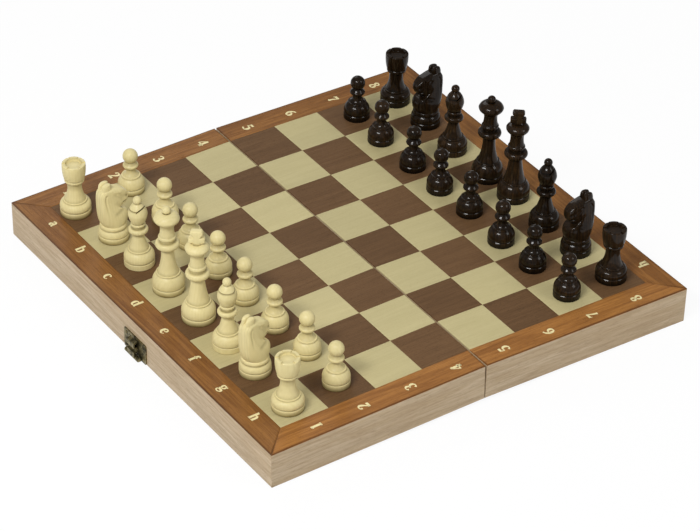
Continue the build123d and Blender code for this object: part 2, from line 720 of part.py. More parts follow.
def assembly():
    """Every node's name and shape."""
    nodes = {}
    spans = knuckle_spans()
    outer, middle = [spans[0], spans[2]], [spans[1]]
    sides = (
        ("white", WHITE_HALF, -CLASP_SHIFT, CLASP_HEIGHT, outer, middle),
        ("black", BLACK_HALF, CLASP_SHIFT, KEEPER_HEIGHT, middle, outer),
    )
    for colour, half, shift, height, own, others in sides:
        pieces = half_box()
        pieces["end_wall"] = bored(pieces["end_wall"], height, shift)
        pieces["hinge_leaves"] = [Pos(0, sign * HINGE_OFFSET, 0) * hinge_leaf(own, others) for sign in (-1, 1)]
        pieces["hinge_screws"] = [place * countersunk() for place in screw_places()]
        for name, shape in pieces.items():
            nodes[f"{colour}_{name}"] = placed(half, shape)
    pin = barrel(PIN_RADIUS, (-HINGE_LENGTH / 2, HINGE_LENGTH / 2))
    nodes["hinge_pins"] = placed(WHITE_HALF, [Pos(0, sign * HINGE_OFFSET, 0) * pin for sign in (-1, 1)])
    nodes["clasp_plate"] = placed(WHITE_HALF, clasp_plate(-CLASP_SHIFT))
    nodes["clasp_tongue"] = placed(WHITE_HALF, clasp_tongue(-CLASP_SHIFT))
    nodes["clasp_pin"] = placed(WHITE_HALF, clasp_pin(-CLASP_SHIFT))
    nodes["clasp_nails"] = placed(WHITE_HALF, [p * nail() for p in nail_places(CLASP_HEIGHT, -CLASP_SHIFT)])
    nodes["keeper_plate"] = placed(BLACK_HALF, keeper_plate(CLASP_SHIFT))
    nodes["keeper_nails"] = placed(BLACK_HALF, [p * nail() for p in nail_places(KEEPER_HEIGHT, CLASP_SHIFT)])
    nodes.update(men())
    return nodes


os.makedirs("parts", exist_ok=True)
for node, shape in assembly().items():
    export_step(shape, f"parts/{node}.step")
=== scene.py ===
import logging
import math
from dataclasses import dataclass, field
from enum import Enum

import bpy
import numpy as np
from mathutils import Matrix, Vector


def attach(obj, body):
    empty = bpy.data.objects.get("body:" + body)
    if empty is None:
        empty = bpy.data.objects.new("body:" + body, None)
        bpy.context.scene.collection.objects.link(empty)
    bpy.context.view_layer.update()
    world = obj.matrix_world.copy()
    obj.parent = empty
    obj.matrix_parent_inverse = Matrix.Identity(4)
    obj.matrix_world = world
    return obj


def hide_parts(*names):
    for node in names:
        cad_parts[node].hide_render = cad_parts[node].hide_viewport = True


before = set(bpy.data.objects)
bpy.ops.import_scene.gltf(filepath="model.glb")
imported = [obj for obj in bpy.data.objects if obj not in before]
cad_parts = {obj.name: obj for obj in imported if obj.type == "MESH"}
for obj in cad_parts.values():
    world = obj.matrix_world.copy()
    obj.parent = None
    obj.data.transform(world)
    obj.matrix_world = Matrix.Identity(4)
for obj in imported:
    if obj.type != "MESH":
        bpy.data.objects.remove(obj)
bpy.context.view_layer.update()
LOG = logging.getLogger("chess_box")
MM = 0.001
WELD = 1e4  # points are one where they agree to a millimetre in so many
PLAIN_TONE = 0.5
FOOT_SHADOW_FADE = (0.5, 1.2)  # mm above the foot, between which the painted contact shadow at its foot fades

# The looks of a folding chess box, open flat, with its men set up for a game. Shapes are drawn in
# millimetres, each half of the box in its own frame: the hinge axis is the local Y axis, local +X
# points away from the fold and local +Z is the way the playing surface faces.


# ---------------------------------------------------------------- shapes as whole arrays
@dataclass
class Form:
    """A closed shape in millimetres: points, faces and the marks that its finish reads.

    Each array of faces holds faces with the same number of corners. "grain" is a point's place in the
    piece's own wood, length first, "groove" is how deep in a groove it lies, and "tones" sets one piece
    of wood apart from the next.
    """

    points: np.ndarray
    faces: list[np.ndarray]
    grain: np.ndarray | None = None
    groove: np.ndarray | None = None
    tones: np.ndarray | None = None

    def __post_init__(self) -> None:
        """Fills in the marks that weren't given, and turns the faces outwards."""
        count = len(self.points)
        self.grain = self.points.copy() if self.grain is None else self.grain
        self.groove = np.zeros(count) if self.groove is None else self.groove
        self.tones = np.full(count, PLAIN_TONE) if self.tones is None else self.tones
        if self.volume() < 0:
            self.faces = [group[:, ::-1] for group in self.faces]

    def volume(self) -> float:
        """The volume inside: a sixth of the sum of a . (b x c) over the fans of all faces.

        Returns:
            The volume, below zero where the faces look inward.
        """
        total = 0.0
        for group in self.faces:
            first = self.points[group[:, 0]]
            for corner in range(1, group.shape[1] - 1):
                second, third = self.points[group[:, corner]], self.points[group[:, corner + 1]]
                total += float((first * np.cross(second, third)).sum()) / 6
        return total

    def moved(self, turn: np.ndarray, shift: np.ndarray) -> "Form":
        """The same form after a turn and a shift, with its marks as they were."""
        points = self.points @ np.asarray(turn, float).T + np.asarray(shift, float)
        return Form(points, self.faces, self.grain, self.groove, self.tones)

    def toned(self, tone: float, offset: tuple[float, float, float]) -> "Form":
        """The same form cut from another place in the wood, with its own tone."""
        grain, tones = self.grain + np.array(offset), self.tones * 0 + tone
        return Form(self.points, self.faces, grain, self.groove, tones)


def joined(forms: list[Form]) -> Form:
    """One form that holds several, each still a closed shell of its own.

    Args:
        forms: The forms to put together.

    Returns:
        The one form.
    """
    starts = np.cumsum([0] + [len(form.points) for form in forms])
    faces = [group + start for form, start in zip(forms, starts) for group in form.faces]
    marks = [np.concatenate([getattr(form, name) for form in forms]) for name in ("grain", "groove", "tones")]
    return Form(np.concatenate([form.points for form in forms]), faces, *marks)


def lattice(rows: int, columns: int, closed: bool) -> np.ndarray:
    """The four-cornered faces of a grid of points.

    Args:
        rows: Number of rows of points.
        columns: Number of points in a row.
        closed: Whether the last point of a row joins its first.

    Returns:
        An array of faces: face (i, j) has corners (i, j), (i, j + 1), (i + 1, j + 1), (i + 1, j).
    """
    i, j = np.meshgrid(np.arange(rows - 1), np.arange(columns if closed else columns - 1), indexing="ij")
    low, high, after = i * columns, (i + 1) * columns, (j + 1) % columns
    return np.stack([corner.ravel() for corner in (low + j, low + after, high + after, high + j)], axis=1)


def welded(points: np.ndarray, faces: list[np.ndarray]) -> tuple[np.ndarray, list[np.ndarray], np.ndarray]:
    """Joins points that lie on each other, and drops what collapses at a pole or a seam.

    Points are joined where they agree to a ten-thousandth of a millimetre. A four-cornered face with
    two equal neighbours becomes a triangle, and one with fewer than three corners goes.

    Args:
        points: The points, one row each.
        faces: Arrays of faces.

    Returns:
        The points kept, the faces on them, and the old number of each kept point.
    """
    _, first, number = np.unique(np.round(points * WELD), axis=0, return_index=True, return_inverse=True)
    number = number.ravel()
    kept: list[np.ndarray] = []
    for group in faces:
        group = number[group]
        if group.shape[1] != 4:
            kept.append(group)
            continue
        same = group == np.roll(group, -1, axis=1)
        crossed = (group[:, 0] == group[:, 2]) | (group[:, 1] == group[:, 3])
        kept.append(group[~same.any(axis=1) & ~crossed])
        for corner in range(4):
            alone = same[:, corner] & (same.sum(axis=1) == 1) & ~crossed
            kept.append(np.delete(group[alone], corner, axis=1))
    return points[first], [group for group in kept if len(group)], first


def grid_form(points: np.ndarray, groove: np.ndarray | None = None) -> Form:
    """A man's form from a grid of points: equal points are joined, and the wood's length lies along Z.

    Args:
        points: An array (rows, points of a row, 3), each row closed.
        groove: How deep in a groove each point lies.

    Returns:
        The closed form.
    """
    rows, columns = points.shape[:2]
    flat, faces, first = welded(points.reshape(-1, 3), [lattice(rows, columns, True)])
    if groove is not None:
        groove = groove.reshape(-1)[first]
    return Form(flat, faces, flat[:, [2, 0, 1]], groove)


def capped_rings(rings: np.ndarray) -> Form:
    """A form from closed rings, the first and the last of them closed with one flat face each.

    Args:
        rings: An array (rings, points of a ring, 3).

    Returns:
        The closed form.
    """
    count, around = rings.shape[:2]
    low = np.arange(around)[::-1][None, :]
    high = (np.arange(around) + (count - 1) * around)[None, :]
    return Form(rings.reshape(-1, 3), [lattice(count, around, True), low, high])


def laid(form: Form, length: np.ndarray) -> Form:
    """Lays a form's wood along a direction in plan.

    Args:
        form: The form, whose grain becomes (p . length, p . across, z) for a point p.
        length: The direction.

    Returns:
        The same form.
    """
    across = np.array([-length[1], length[0]])
    flat = form.points[:, :2]
    form.grain = np.column_stack([flat @ length, flat @ across, form.points[:, 2]])
    return form


def smooth_line(points: list[tuple[float, ...]], share: np.ndarray) -> np.ndarray:
    """A smooth curve through points, the Catmull-Rom spline.

    Between b and c, with a before and d after them, the point at the share t of the way is half of
    2 b + (c - a) t + (2 a - 5 b + 4 c - d) t^2 + (3 b - a - 3 c + d) t^3.

    Args:
        points: The points that it goes through, at even shares of the way.
        share: The shares of the way at which it is wanted.

    Returns:
        One point for each share.
    """
    knots = np.array(points, float)
    padded = np.concatenate([2 * knots[:1] - knots[1:2], knots, 2 * knots[-1:] - knots[-2:-1]])
    place = share * (len(knots) - 1)
    span = np.minimum(place.astype(int), len(knots) - 2)
    t = (place - span)[:, None]
    a, b, c, d = (padded[span + n] for n in range(4))
    return 0.5 * (2 * b + (c - a) * t + (2 * a - 5 * b + 4 * c - d) * t**2 + (3 * b - a - 3 * c + d) * t**3)


# ---------------------------------------------------------------- outlines
Row = tuple[float, ...]
EASE = 0.3  # where an eased bevel has its middle, as a share of its width
WORN_TURN = 14.0  # degrees: a sharper corner of an outline is worn
WORN_REACH = 0.45  # the most of a side that a worn corner takes
TINY = 1e-9


def arc_points(start: np.ndarray, end: np.ndarray, bulge: float, step: float) -> np.ndarray:
    """Points on an arc from start to end that stands out to the right of its way by the bulge.

    With the chord c and the bulge b, half the arc's angle is h = 2 atan(2 b / c) and its radius is
    c / (2 sin h). The point at angle t lies radius * sin t along the chord from its middle and
    radius * (cos t - cos h) to the right of it.

    Args:
        start: The first point.
        end: The last point.
        bulge: How far the middle of the arc stands out, to the left where it is negative.
        step: The longest step between points.

    Returns:
        The points after start, the last of them at end.
    """
    way = end - start
    chord = float(np.hypot(*way))
    half = 2 * math.atan(2 * bulge / chord)
    radius = chord / (2 * math.sin(half))
    count = max(4, math.ceil(abs(2 * half * radius) / step))
    angle = np.linspace(-half, half, count + 1)[1:]
    along, right = way / chord, np.array([way[1], -way[0]]) / chord
    out = radius * (np.cos(angle) - math.cos(half))
    return (start + end) / 2 + np.outer(radius * np.sin(angle), along) + np.outer(out, right)


def outline_points(rows: list[Row], step: float = 0.45, soft: float = 0.14) -> np.ndarray:
    """The points of an outline whose corners are a little worn.

    Args:
        rows: Points as (across, up), with a bulge where the way to the point is an arc.
        step: The longest step along an arc.
        soft: How far from a corner its rounding starts.

    Returns:
        The points in order. A corner p between a and b becomes the curve
        (1 - t)^2 (p towards a) + 2 t (1 - t) p + t^2 (p towards b).
    """
    points, corner = [np.array(rows[0][:2], float)], [False]
    for row in rows[1:]:
        here = np.array(row[:2], float)
        if np.allclose(here, points[-1]):
            continue
        new = arc_points(points[-1], here, row[2], step) if len(row) > 2 and row[2] else here[None, :]
        points.extend(new)
        corner.extend([False] * (len(new) - 1) + [True])
    line, corner = np.array(points), np.array(corner)
    corner[-1] = False
    before, after = np.roll(line, 1, axis=0), np.roll(line, -1, axis=0)
    into, out = before - line, after - line
    size_in, size_out = np.hypot(*into.T), np.hypot(*out.T)
    cosine = -(into * out).sum(axis=1) / np.maximum(size_in * size_out, TINY)
    corner &= cosine < math.cos(math.radians(WORN_TURN))
    reach_in, reach_out = (
        np.minimum(soft, size * WORN_REACH) / np.maximum(size, TINY) for size in (size_in, size_out)
    )
    t = np.linspace(0, 1, 4)[:, None]
    parts = []
    for n, point in enumerate(line):
        if corner[n]:
            first, last = point + into[n] * reach_in[n], point + out[n] * reach_out[n]
            parts.append((1 - t) ** 2 * first + 2 * t * (1 - t) * point + t**2 * last)
        else:
            parts.append(point[None, :])
    return np.concatenate(parts)


def groove_depth(line: np.ndarray, span: float = 1.3, full: float = 0.5, axis: float = 1.2) -> np.ndarray:
    """How deep each point of a turned outline lies in a groove, from 0 to 1.

    It is the mean radius of the outline near by, weighted by exp(-(d / span)^2) over the distance d,
    less the point's own radius, as a share of a full groove's depth.

    Args:
        line: The outline as radii and heights.
        span: How far the mean reaches, in millimetres.
        full: How deep a full groove is.
        axis: The radius below which the depth is 0, fading in over the next millimetre.

    Returns:
        One depth for each point.
    """
    apart = np.hypot(line[:, None, 0] - line[None, :, 0], line[:, None, 1] - line[None, :, 1])
    steps = np.hypot(*np.gradient(line, axis=0).T)
    weight = np.exp(-((apart / span) ** 2)) * steps[None, :]
    mean = (weight * line[None, :, 0]).sum(axis=1) / weight.sum(axis=1)
    return np.clip((mean - line[:, 0]) / full, 0, 1) * np.clip(line[:, 0] - axis, 0, 1)


def ring_points(radius: np.ndarray, angles: np.ndarray, height: np.ndarray) -> np.ndarray:
    """Level rings round Z: the point at radius r, angle a and height z is (r cos a, r sin a, z)."""
    return np.stack(np.broadcast_arrays(radius * np.cos(angles), radius * np.sin(angles), height), axis=2)


def turned(line: np.ndarray, angles: np.ndarray, lower: np.ndarray | None = None) -> Form:
    """A solid turned about Z, with a groove mark that is also 1 at its foot, where it stands for a painted
    contact shadow.

    Args:
        line: The outline as radii and heights, from the axis at the foot to the axis at the top.
        angles: The angles of the turned solid's sides.
        lower: For each angle, the height that the solid is cut down to, where it is cut.

    Returns:
        The closed form.
    """
    height = line[:, 1][:, None]
    if lower is not None:
        height = np.minimum(height, lower[None, :])
    # The lowest millimetre or so of the foot is marked as a groove, so that the finish paints a contact
    # shadow there.
    full, none = FOOT_SHADOW_FADE
    groove = np.maximum(groove_depth(line), np.clip((none - line[:, 1]) / (none - full), 0, 1))
    points = ring_points(line[:, 0][:, None], angles, height)
    return grid_form(points, np.broadcast_to(groove[:, None], points.shape[:2]))


def even_angles(count: int) -> np.ndarray:
    """So many angles, evenly round a full turn."""
    return np.arange(count) * (2 * math.pi / count)


# ---------------------------------------------------------------- shader recipes
MIX_SHARE, MIX_BELOW, MIX_ABOVE = 0, 6, 7  # a Mix node's inputs for colours, by number
MIX_COLOUR = 2  # and its output
Number = float | int


class Signal:
    """A number that varies over a surface. Its sums, products and quotients add Math nodes."""

    def __init__(self, recipe: "Recipe", socket: bpy.types.NodeSocket) -> None:
        """Wraps one output socket of a recipe's node tree."""
        self.recipe = recipe
        self.socket = socket

    def __add__(self, other: "Signal | Number") -> "Signal":
        """self + other."""
        return self.recipe.math("ADD", self, other)

    def __sub__(self, other: "Signal | Number") -> "Signal":
        """self - other."""
        return self.recipe.math("SUBTRACT", self, other)

    def __rsub__(self, other: Number) -> "Signal":
        """other - self."""
        return self.recipe.math("SUBTRACT", other, self)

    def __mul__(self, other: "Signal | Number") -> "Signal":
        """self * other."""
        return self.recipe.math("MULTIPLY", self, other)

    def __truediv__(self, other: "Signal | Number") -> "Signal":
        """self / other."""
        return self.recipe.math("DIVIDE", self, other)

    __radd__ = __add__
    __rmul__ = __mul__

    def clipped(self) -> "Signal":
        """The signal kept from 0 to 1."""
        return self.recipe.ramp(self, 0.0, 1.0, "LINEAR")


Colour = tuple[float, float, float]
Span = tuple[float, float]
Noise = tuple[float, ...]  # a noise's detail, roughness and warp; for a speck its scale comes first
WHITE = (1.0, 1.0, 1.0)


def paint(red: int, green: int, blue: int) -> Colour:
    """A colour as it looks, from 0 to 255, turned into light by the sRGB curve."""
    shares = [value / 255 for value in (red, green, blue)]
    return tuple(c / 12.92 if c <= 0.04045 else ((c + 0.055) / 1.055) ** 2.4 for c in shares)


class Recipe:
    """A material as it is being put together."""

    def __init__(self, name: str) -> None:
        """Starts an empty material with its output node.

        Args:
            name: The material's name.
        """
        self.material = bpy.data.materials.new(name)
        self.material.use_nodes = True
        self.tree = self.material.node_tree
        self.tree.nodes.clear()
        self.output = self.tree.nodes.new("ShaderNodeOutputMaterial")

    def node(self, kind: str, settings: dict | None = None, inputs: dict | None = None) -> bpy.types.Node:
        """Adds a node.

        Args:
            kind: The node's type, without "ShaderNode" in front.
            settings: What is set on the node itself first.
            inputs: A value or a link for each input, by its name or its number.

        Returns:
            The new node.
        """
        made = self.tree.nodes.new("ShaderNode" + kind)
        for name, value in (settings or {}).items():
            setattr(made, name, value)
        for name, value in (inputs or {}).items():
            self.plug(made.inputs[name], value)
        return made

    def plug(self, socket: bpy.types.NodeSocket, value: object) -> None:
        """Links or sets a socket.

        Args:
            socket: The input.
            value: A signal or another socket to link to it, or its plain value.
        """
        if isinstance(value, Signal):
            value = value.socket
        if isinstance(value, bpy.types.NodeSocket):
            self.tree.links.new(value, socket)
        elif socket.type == "RGBA" and len(value) == 3:
            socket.default_value = (*value, 1.0)
        else:
            socket.default_value = value

    def math(self, operation: str, first: "Signal | Number", second: "Signal | Number" = 0.0) -> Signal:
        """The result of one Math node."""
        made = self.node("Math", {"operation": operation}, {0: first, 1: second})
        return Signal(self, made.outputs[0])

    def ramp(self, signal: Signal, low: float, high: float, course: str = "SMOOTHSTEP") -> Signal:
        """The signal from 0 at low to 1 at high, with soft ends unless the course is LINEAR."""
        inputs = {0: signal, 1: low, 2: high, 3: 0.0, 4: 1.0}
        return Signal(self, self.node("MapRange", {"interpolation_type": course}, inputs).outputs[0])

    def mark(self, name: str) -> Signal:
        """A number that the piece's own points carry."""
        return Signal(self, self.node("Attribute", {"attribute_name": name}).outputs["Fac"])

    def place(self, source: "Source", scale: Colour, shift: Colour = (0.0, 0.0, 0.0)) -> bpy.types.NodeSocket:
        """Where a point lies in the piece's wood, stretched for a pattern.

        Args:
            source: What the place is read from.
            scale: How many times a metre holds the pattern, along the wood's length first.
            shift: Where the pattern starts.

        Returns:
            The vector socket.
        """
        if source is Source.WOOD:
            read = self.node("Attribute", {"attribute_name": "grain"}).outputs["Vector"]
        else:
            read = self.node("TexCoord").outputs["Object"]
        turn = math.pi / 2 if source is Source.ALONG_Y else 0.0
        lined = self.node("Mapping", None, {"Vector": read, "Rotation": (0.0, 0.0, turn)}).outputs[0]
        return self.node("Mapping", None, {"Vector": lined, "Scale": scale, "Location": shift}).outputs[0]

    def noise(
        self, place: bpy.types.NodeSocket, detail: float = 3.0, rough: float = 0.55, warp: float = 0.0
    ) -> Signal:
        """Noise of scale 1 at a place."""
        inputs = {"Vector": place, "Scale": 1.0, "Detail": detail, "Roughness": rough, "Distortion": warp}
        return Signal(self, self.node("TexNoise", None, inputs).outputs["Fac"])

    def speck(self, scale: float, detail: float, rough: float, warp: float = 0.0) -> Signal:
        """Noise of an even scale, so many to the metre, over the object's coordinates."""
        return self.noise(self.place(Source.ALONG_X, (scale, scale, scale)), detail, rough, warp)

    def mix(
        self, share: "Signal | Number", first: object, second: object, how: str = "MIX"
    ) -> bpy.types.NodeSocket:
        """One colour laid over another: the share says how much of the second covers the first."""
        inputs = {MIX_SHARE: share, MIX_BELOW: first, MIX_ABOVE: second}
        return self.node("Mix", {"data_type": "RGBA", "blend_type": how}, inputs).outputs[MIX_COLOUR]

    def brightened(self, colour: object, level: Signal) -> bpy.types.NodeSocket:
        """The colour times a level that is near 1."""
        grey = self.node("CombineColor", None, {0: level, 1: level, 2: level}).outputs[0]
        return self.mix(1.0, colour, grey, "MULTIPLY")

    def bump(self, height: Signal, depth: float) -> bpy.types.NodeSocket:
        """The surface's normal over a relief of so many metres."""
        return self.node("Bump", None, {"Height": height, "Distance": depth, "Strength": 1.0}).outputs[0]

    def finish(self, **inputs) -> bpy.types.Material:
        """Puts a Principled shader under the recipe and returns the material.

        Args:
            **inputs: Values and links by the names of the shader's inputs, with _ for a space.

        Returns:
            The finished material.
        """
        named = {name.replace("_", " "): value for name, value in inputs.items()}
        shader = self.node("BsdfPrincipled", None, named)
        self.tree.links.new(shader.outputs[0], self.output.inputs["Surface"])
        return self.material


class Source(Enum):
    """What a wood pattern is laid out by."""

    WOOD = "the piece's own grain mark"
    ALONG_X = "the object's coordinates, with the wood's length along X"
    ALONG_Y = "the object's coordinates, with the wood's length along Y"


@dataclass(frozen=True)
class Veneer:
    """A sliced wood with a thin varnish: bands of figure, fine lines, pores and flecks."""

    name: str
    base: Colour
    band: Colour
    line: Colour
    pore: Colour
    band_width: float = 9.0  # mm between bands
    band_share: float = 0.6
    line_width: float = 0.9  # mm between fine lines
    line_share: float = 0.5
    pore_length: float = 3.0  # mm
    pore_share: float = 0.5
    tone_share: float = 0.12  # how far one piece differs from the next
    wave: float = 1.5  # how far the figure wanders
    roughness: float = 0.42
    edge_share: float = 0.0  # how dark a marked edge is, towards the pore colour
    varnish: float = 0.0
    varnish_roughness: float = 0.24
    shine: float = 0.2
    relief: float = 0.00004
    drift_scale: Colour = (7.0, 24.0, 24.0)  # slow changes of shade, so many to the metre
    drift_share: float = 0.22
    figure_stretch: float = 0.07  # how much slower the bands change along the wood
    thread_stretch: float = 0.03
    fleck_scale: Span = (4200.0, 2600.0)
    figure_span: Span = (0.34, 0.66)  # where each noise turns from one colour to the other
    thread_span: Span = (0.36, 0.68)
    pore_span: Span = (0.56, 0.7)
    drift_noise: Noise = (2.0, 0.5)
    figure_noise: Noise = (3.0, 0.6)  # its warp is the wave
    thread_noise: Noise = (4.0, 0.68, 0.4)
    fleck_noise: Noise = (2.0, 0.6)
    figure_start: Colour = (3.1, 0.0, 7.7)
    thread_depth: float = 0.6  # how much slower the lines change through the sheet
    drift_figure: float = 0.5  # how far the slow changes move the figure
    heights: Colour = (0.4, -1.0, 0.2)  # of the lines, the pores and the figure
    rough_lines: float = 0.16
    rough_pores: float = 0.12

    def material(self, source: Source) -> bpy.types.Material:
        """The veneer's material.

        Args:
            source: What the pattern is laid out by.

        Returns:
            The material.
        """
        recipe = Recipe(f"{self.name}_{source.name.lower()}")
        bands, lines = 1000 / self.band_width, 1000 / self.line_width
        drift = recipe.noise(recipe.place(source, self.drift_scale), *self.drift_noise)
        place = recipe.place(source, (bands * self.figure_stretch, bands, bands), self.figure_start)
        broad = recipe.noise(place, *self.figure_noise, self.wave)
        place = recipe.place(source, (lines * self.thread_stretch, lines, lines * self.thread_depth))
        fine = recipe.noise(place, *self.thread_noise)
        place = recipe.place(source, (1000 / self.pore_length, *self.fleck_scale))
        fleck = recipe.noise(place, *self.fleck_noise)
        figure = recipe.ramp(broad + (drift - 0.5) * self.drift_figure, *self.figure_span)
        thread = recipe.ramp(fine, *self.thread_span)
        pores = recipe.ramp(fleck, *self.pore_span)
        colour = recipe.mix(figure * self.band_share, self.base, self.band)
        colour = recipe.mix(thread * self.line_share, colour, self.line)
        colour = recipe.mix(pores * self.pore_share, colour, self.pore)
        level = (drift - 0.5) * self.drift_share + 1.0
        if source is Source.WOOD:
            level = (recipe.mark("tone") - 0.5) * (2 * self.tone_share) + level
            if self.edge_share:
                colour = recipe.mix(recipe.mark("groove") * self.edge_share, colour, self.pore)
        colour = recipe.brightened(colour, level)
        height = sum(part * share for part, share in zip((thread, pores, broad), self.heights))
        return recipe.finish(
            Base_Color=colour,
            Roughness=self.roughness + (fine - 0.5) * self.rough_lines + pores * self.rough_pores,
            Normal=recipe.bump(height, self.relief),
            Coat_Weight=self.varnish,
            Coat_Roughness=self.varnish_roughness,
            Specular_IOR_Level=self.shine,
        )


@dataclass(frozen=True)
class TurnedWood:
    """The wood of a man, with growth rings round an axis off to one side, its lacquer, and painted shade in
    its grooves.
    """

    name: str
    base: Colour
    ring: Colour
    streak: Colour
    deep: Colour  # the painted shade in the grooves, at the foot and in carved hollows
    ring_width: float = 1.7  # mm
    ring_share: float = 0.35
    streak_share: float = 0.35
    deep_share: float = 0.6
    roughness: float = 0.36
    lacquer: float = 0.25
    lacquer_roughness: float = 0.18
    shine: float = 0.2
    tone_share: float = 0.05  # how far one man differs from the next
    cloud_share: float = 0.16  # how far one part of a man differs from another
    relief: float = 0.00002
    heart: Colour = (0.0, 21.0, 9.0)  # mm from the man's axis to the tree's
    bend: float = 5.0  # mm that the rings wander
    bend_scale: Colour = (14.0, 60.0, 60.0)  # so many to the metre, along the wood first
    streak_scale: Colour = (35.0, 900.0, 900.0)
    cloud_scale: Colour = (60.0, 110.0, 110.0)
    streak_span: Span = (0.42, 0.72)
    ring_span: Span = (0.25, 1.0)
    bend_noise: Noise = (2.0, 0.5)
    streak_noise: Noise = (3.0, 0.65)
    cloud_noise: Noise = (3.0, 0.6)
    cloud_start: Colour = (5.0, 1.0, 2.0)
    settling: float = 0.55  # how evenly the painted shade fills the grooves
    heights: Span = (0.5, 0.6)  # of the streaks and the clouds
    rough_clouds: float = 0.14
    rough_dirt: float = 0.15

    def material(self) -> bpy.types.Material:
        """The material, laid out by the man's own grain mark.

        Returns:
            The material.
        """
        recipe = Recipe(self.name)
        bent = recipe.noise(recipe.place(Source.WOOD, self.bend_scale), *self.bend_noise)
        place = recipe.place(Source.WOOD, (0.0, 1 / MM, 1 / MM), self.heart)
        across = recipe.node("SeparateXYZ", None, {0: place})
        side, back = Signal(recipe, across.outputs[1]), Signal(recipe, across.outputs[2])
        from_heart = recipe.math("SQRT", side * side + back * back)
        turns = (from_heart + bent * self.bend) / self.ring_width
        wave = recipe.math("SINE", turns * (2 * math.pi)) * 0.5 + 0.5
        rings = recipe.ramp(wave, *self.ring_span)
        streaky = recipe.noise(recipe.place(Source.WOOD, self.streak_scale), *self.streak_noise)
        streaks = recipe.ramp(streaky, *self.streak_span)
        place = recipe.place(Source.WOOD, self.cloud_scale, self.cloud_start)
        cloud = recipe.noise(place, *self.cloud_noise)
        hollow = recipe.mark("groove")
        colour = recipe.mix(rings * self.ring_share, self.base, self.ring)
        colour = recipe.mix(streaks * self.streak_share, colour, self.streak)
        # Painted shade: where the groove mark is set, the colour darkens towards the deep colour.
        groove_shade = (hollow * (cloud + self.settling)).clipped()
        colour = recipe.mix(groove_shade * self.deep_share, colour, self.deep)
        level = (recipe.mark("tone") - 0.5) * (2 * self.tone_share) + (cloud - 0.5) * self.cloud_share + 1.0
        colour = recipe.brightened(colour, level)
        height = streaks * self.heights[0] + cloud * self.heights[1]
        return recipe.finish(
            Base_Color=colour,
            Roughness=self.roughness + (cloud - 0.5) * self.rough_clouds + groove_shade * self.rough_dirt,
            Normal=recipe.bump(height, self.relief),
            Coat_Weight=self.lacquer,
            Coat_Roughness=self.lacquer_roughness,
            Specular_IOR_Level=self.shine,
        )


@dataclass(frozen=True)
class Brass:
    """Sheet brass, from bright to dark with age."""

    name: str
    bright: Colour
    aged: Colour
    age: float = 0.5
    roughness: float = 0.32
    brush_scale: Colour = (9000.0, 400.0, 9000.0)
    young: Span = (0.72, 0.95)  # where tarnish starts and is full on brass of no age
    ageing: float = 0.5  # how far both come down on the oldest
    patches: Noise = (260.0, 5.0, 0.7, 0.6)
    spots: Noise = (1500.0, 3.0, 0.6)
    brushing: Noise = (2.0, 0.6)
    spot_share: float = 0.35
    dulling: float = 0.35  # how much of the metal's own shine tarnish takes
    rough_tarnish: float = 0.22
    rough_brushing: float = 0.12
    relief: float = 0.00002

    def material(self) -> bpy.types.Material:
        """The material, laid out by the object's coordinates.

        Returns:
            The material.
        """
        recipe = Recipe(self.name)
        patches, spots = recipe.speck(*self.patches), recipe.speck(*self.spots)
        brushed = recipe.noise(recipe.place(Source.ALONG_X, self.brush_scale), *self.brushing)
        start, full = (edge - self.age * self.ageing for edge in self.young)
        tarnish = recipe.ramp(patches + (spots - 0.5) * self.spot_share, start, full)
        return recipe.finish(
            Base_Color=recipe.mix(tarnish, self.bright, self.aged),
            Metallic=1.0 - tarnish * self.dulling,
            Roughness=self.roughness + tarnish * self.rough_tarnish + (brushed - 0.5) * self.rough_brushing,
            Normal=recipe.bump(brushed * 0.5 + spots * 0.5, self.relief),
        )


@dataclass(frozen=True)
class Felt:
    """Short-haired felt, glued down."""

    name: str
    base: Colour
    hair: Colour
    hairs: Noise = (2600.0, 4.0, 0.75, 2.0)
    tufts: Noise = (420.0, 3.0, 0.6)
    worn: Noise = (40.0, 2.0, 0.5)
    hair_span: Span = (0.35, 0.75)
    shares: Colour = (0.7, 0.5, 0.4)  # of the hairs, the tufts and the worn places
    roughness: float = 0.9
    rough_tufts: float = 0.12
    tuft_height: float = 0.6
    relief: float = 0.00025
    sheen: float = 0.35
    sheen_roughness: float = 0.5
    shine: float = 0.15

    def material(self) -> bpy.types.Material:
        """The material, laid out by the object's coordinates.

        Returns:
            The material.
        """
        recipe = Recipe(self.name)
        hairs, tufts, worn = (recipe.speck(*noise) for noise in (self.hairs, self.tufts, self.worn))
        hair_share, tuft_share, worn_share = self.shares
        light = recipe.ramp(hairs, *self.hair_span) * hair_share + (tufts - 0.5) * tuft_share
        light = (light + (worn - 0.5) * worn_share).clipped()
        return recipe.finish(
            Base_Color=recipe.mix(light, self.base, self.hair),
            Roughness=self.roughness + (tufts - 0.5) * self.rough_tufts,
            Normal=recipe.bump(hairs + tufts * self.tuft_height, self.relief),
            Sheen_Weight=self.sheen,
            Sheen_Roughness=self.sheen_roughness,
            Specular_IOR_Level=self.shine,
        )


@dataclass(frozen=True)
class Inlay:
    """The cream of the coordinates, a little rubbed."""

    name: str
    base: Colour
    rubbed: Colour
    wear: Noise = (700.0, 4.0, 0.7)
    fine: Noise = (6000.0, 2.0, 0.6)
    wear_span: Span = (0.5, 0.8)
    shares: Span = (0.6, 0.3)  # of the wear and the fine grain
    roughness: float = 0.5
    rough_wear: float = 0.2
    relief: float = 0.00001

    def material(self) -> bpy.types.Material:
        """The material, laid out by the object's coordinates.

        Returns:
            The material.
        """
        recipe = Recipe(self.name)
        wear, fine = recipe.speck(*self.wear), recipe.speck(*self.fine)
        share = recipe.ramp(wear, *self.wear_span) * self.shares[0] + (fine - 0.5) * self.shares[1]
        return recipe.finish(
            Base_Color=recipe.mix(share.clipped(), self.base, self.rubbed),
            Roughness=self.roughness + (wear - 0.5) * self.rough_wear,
            Normal=recipe.bump(fine, self.relief),
        )


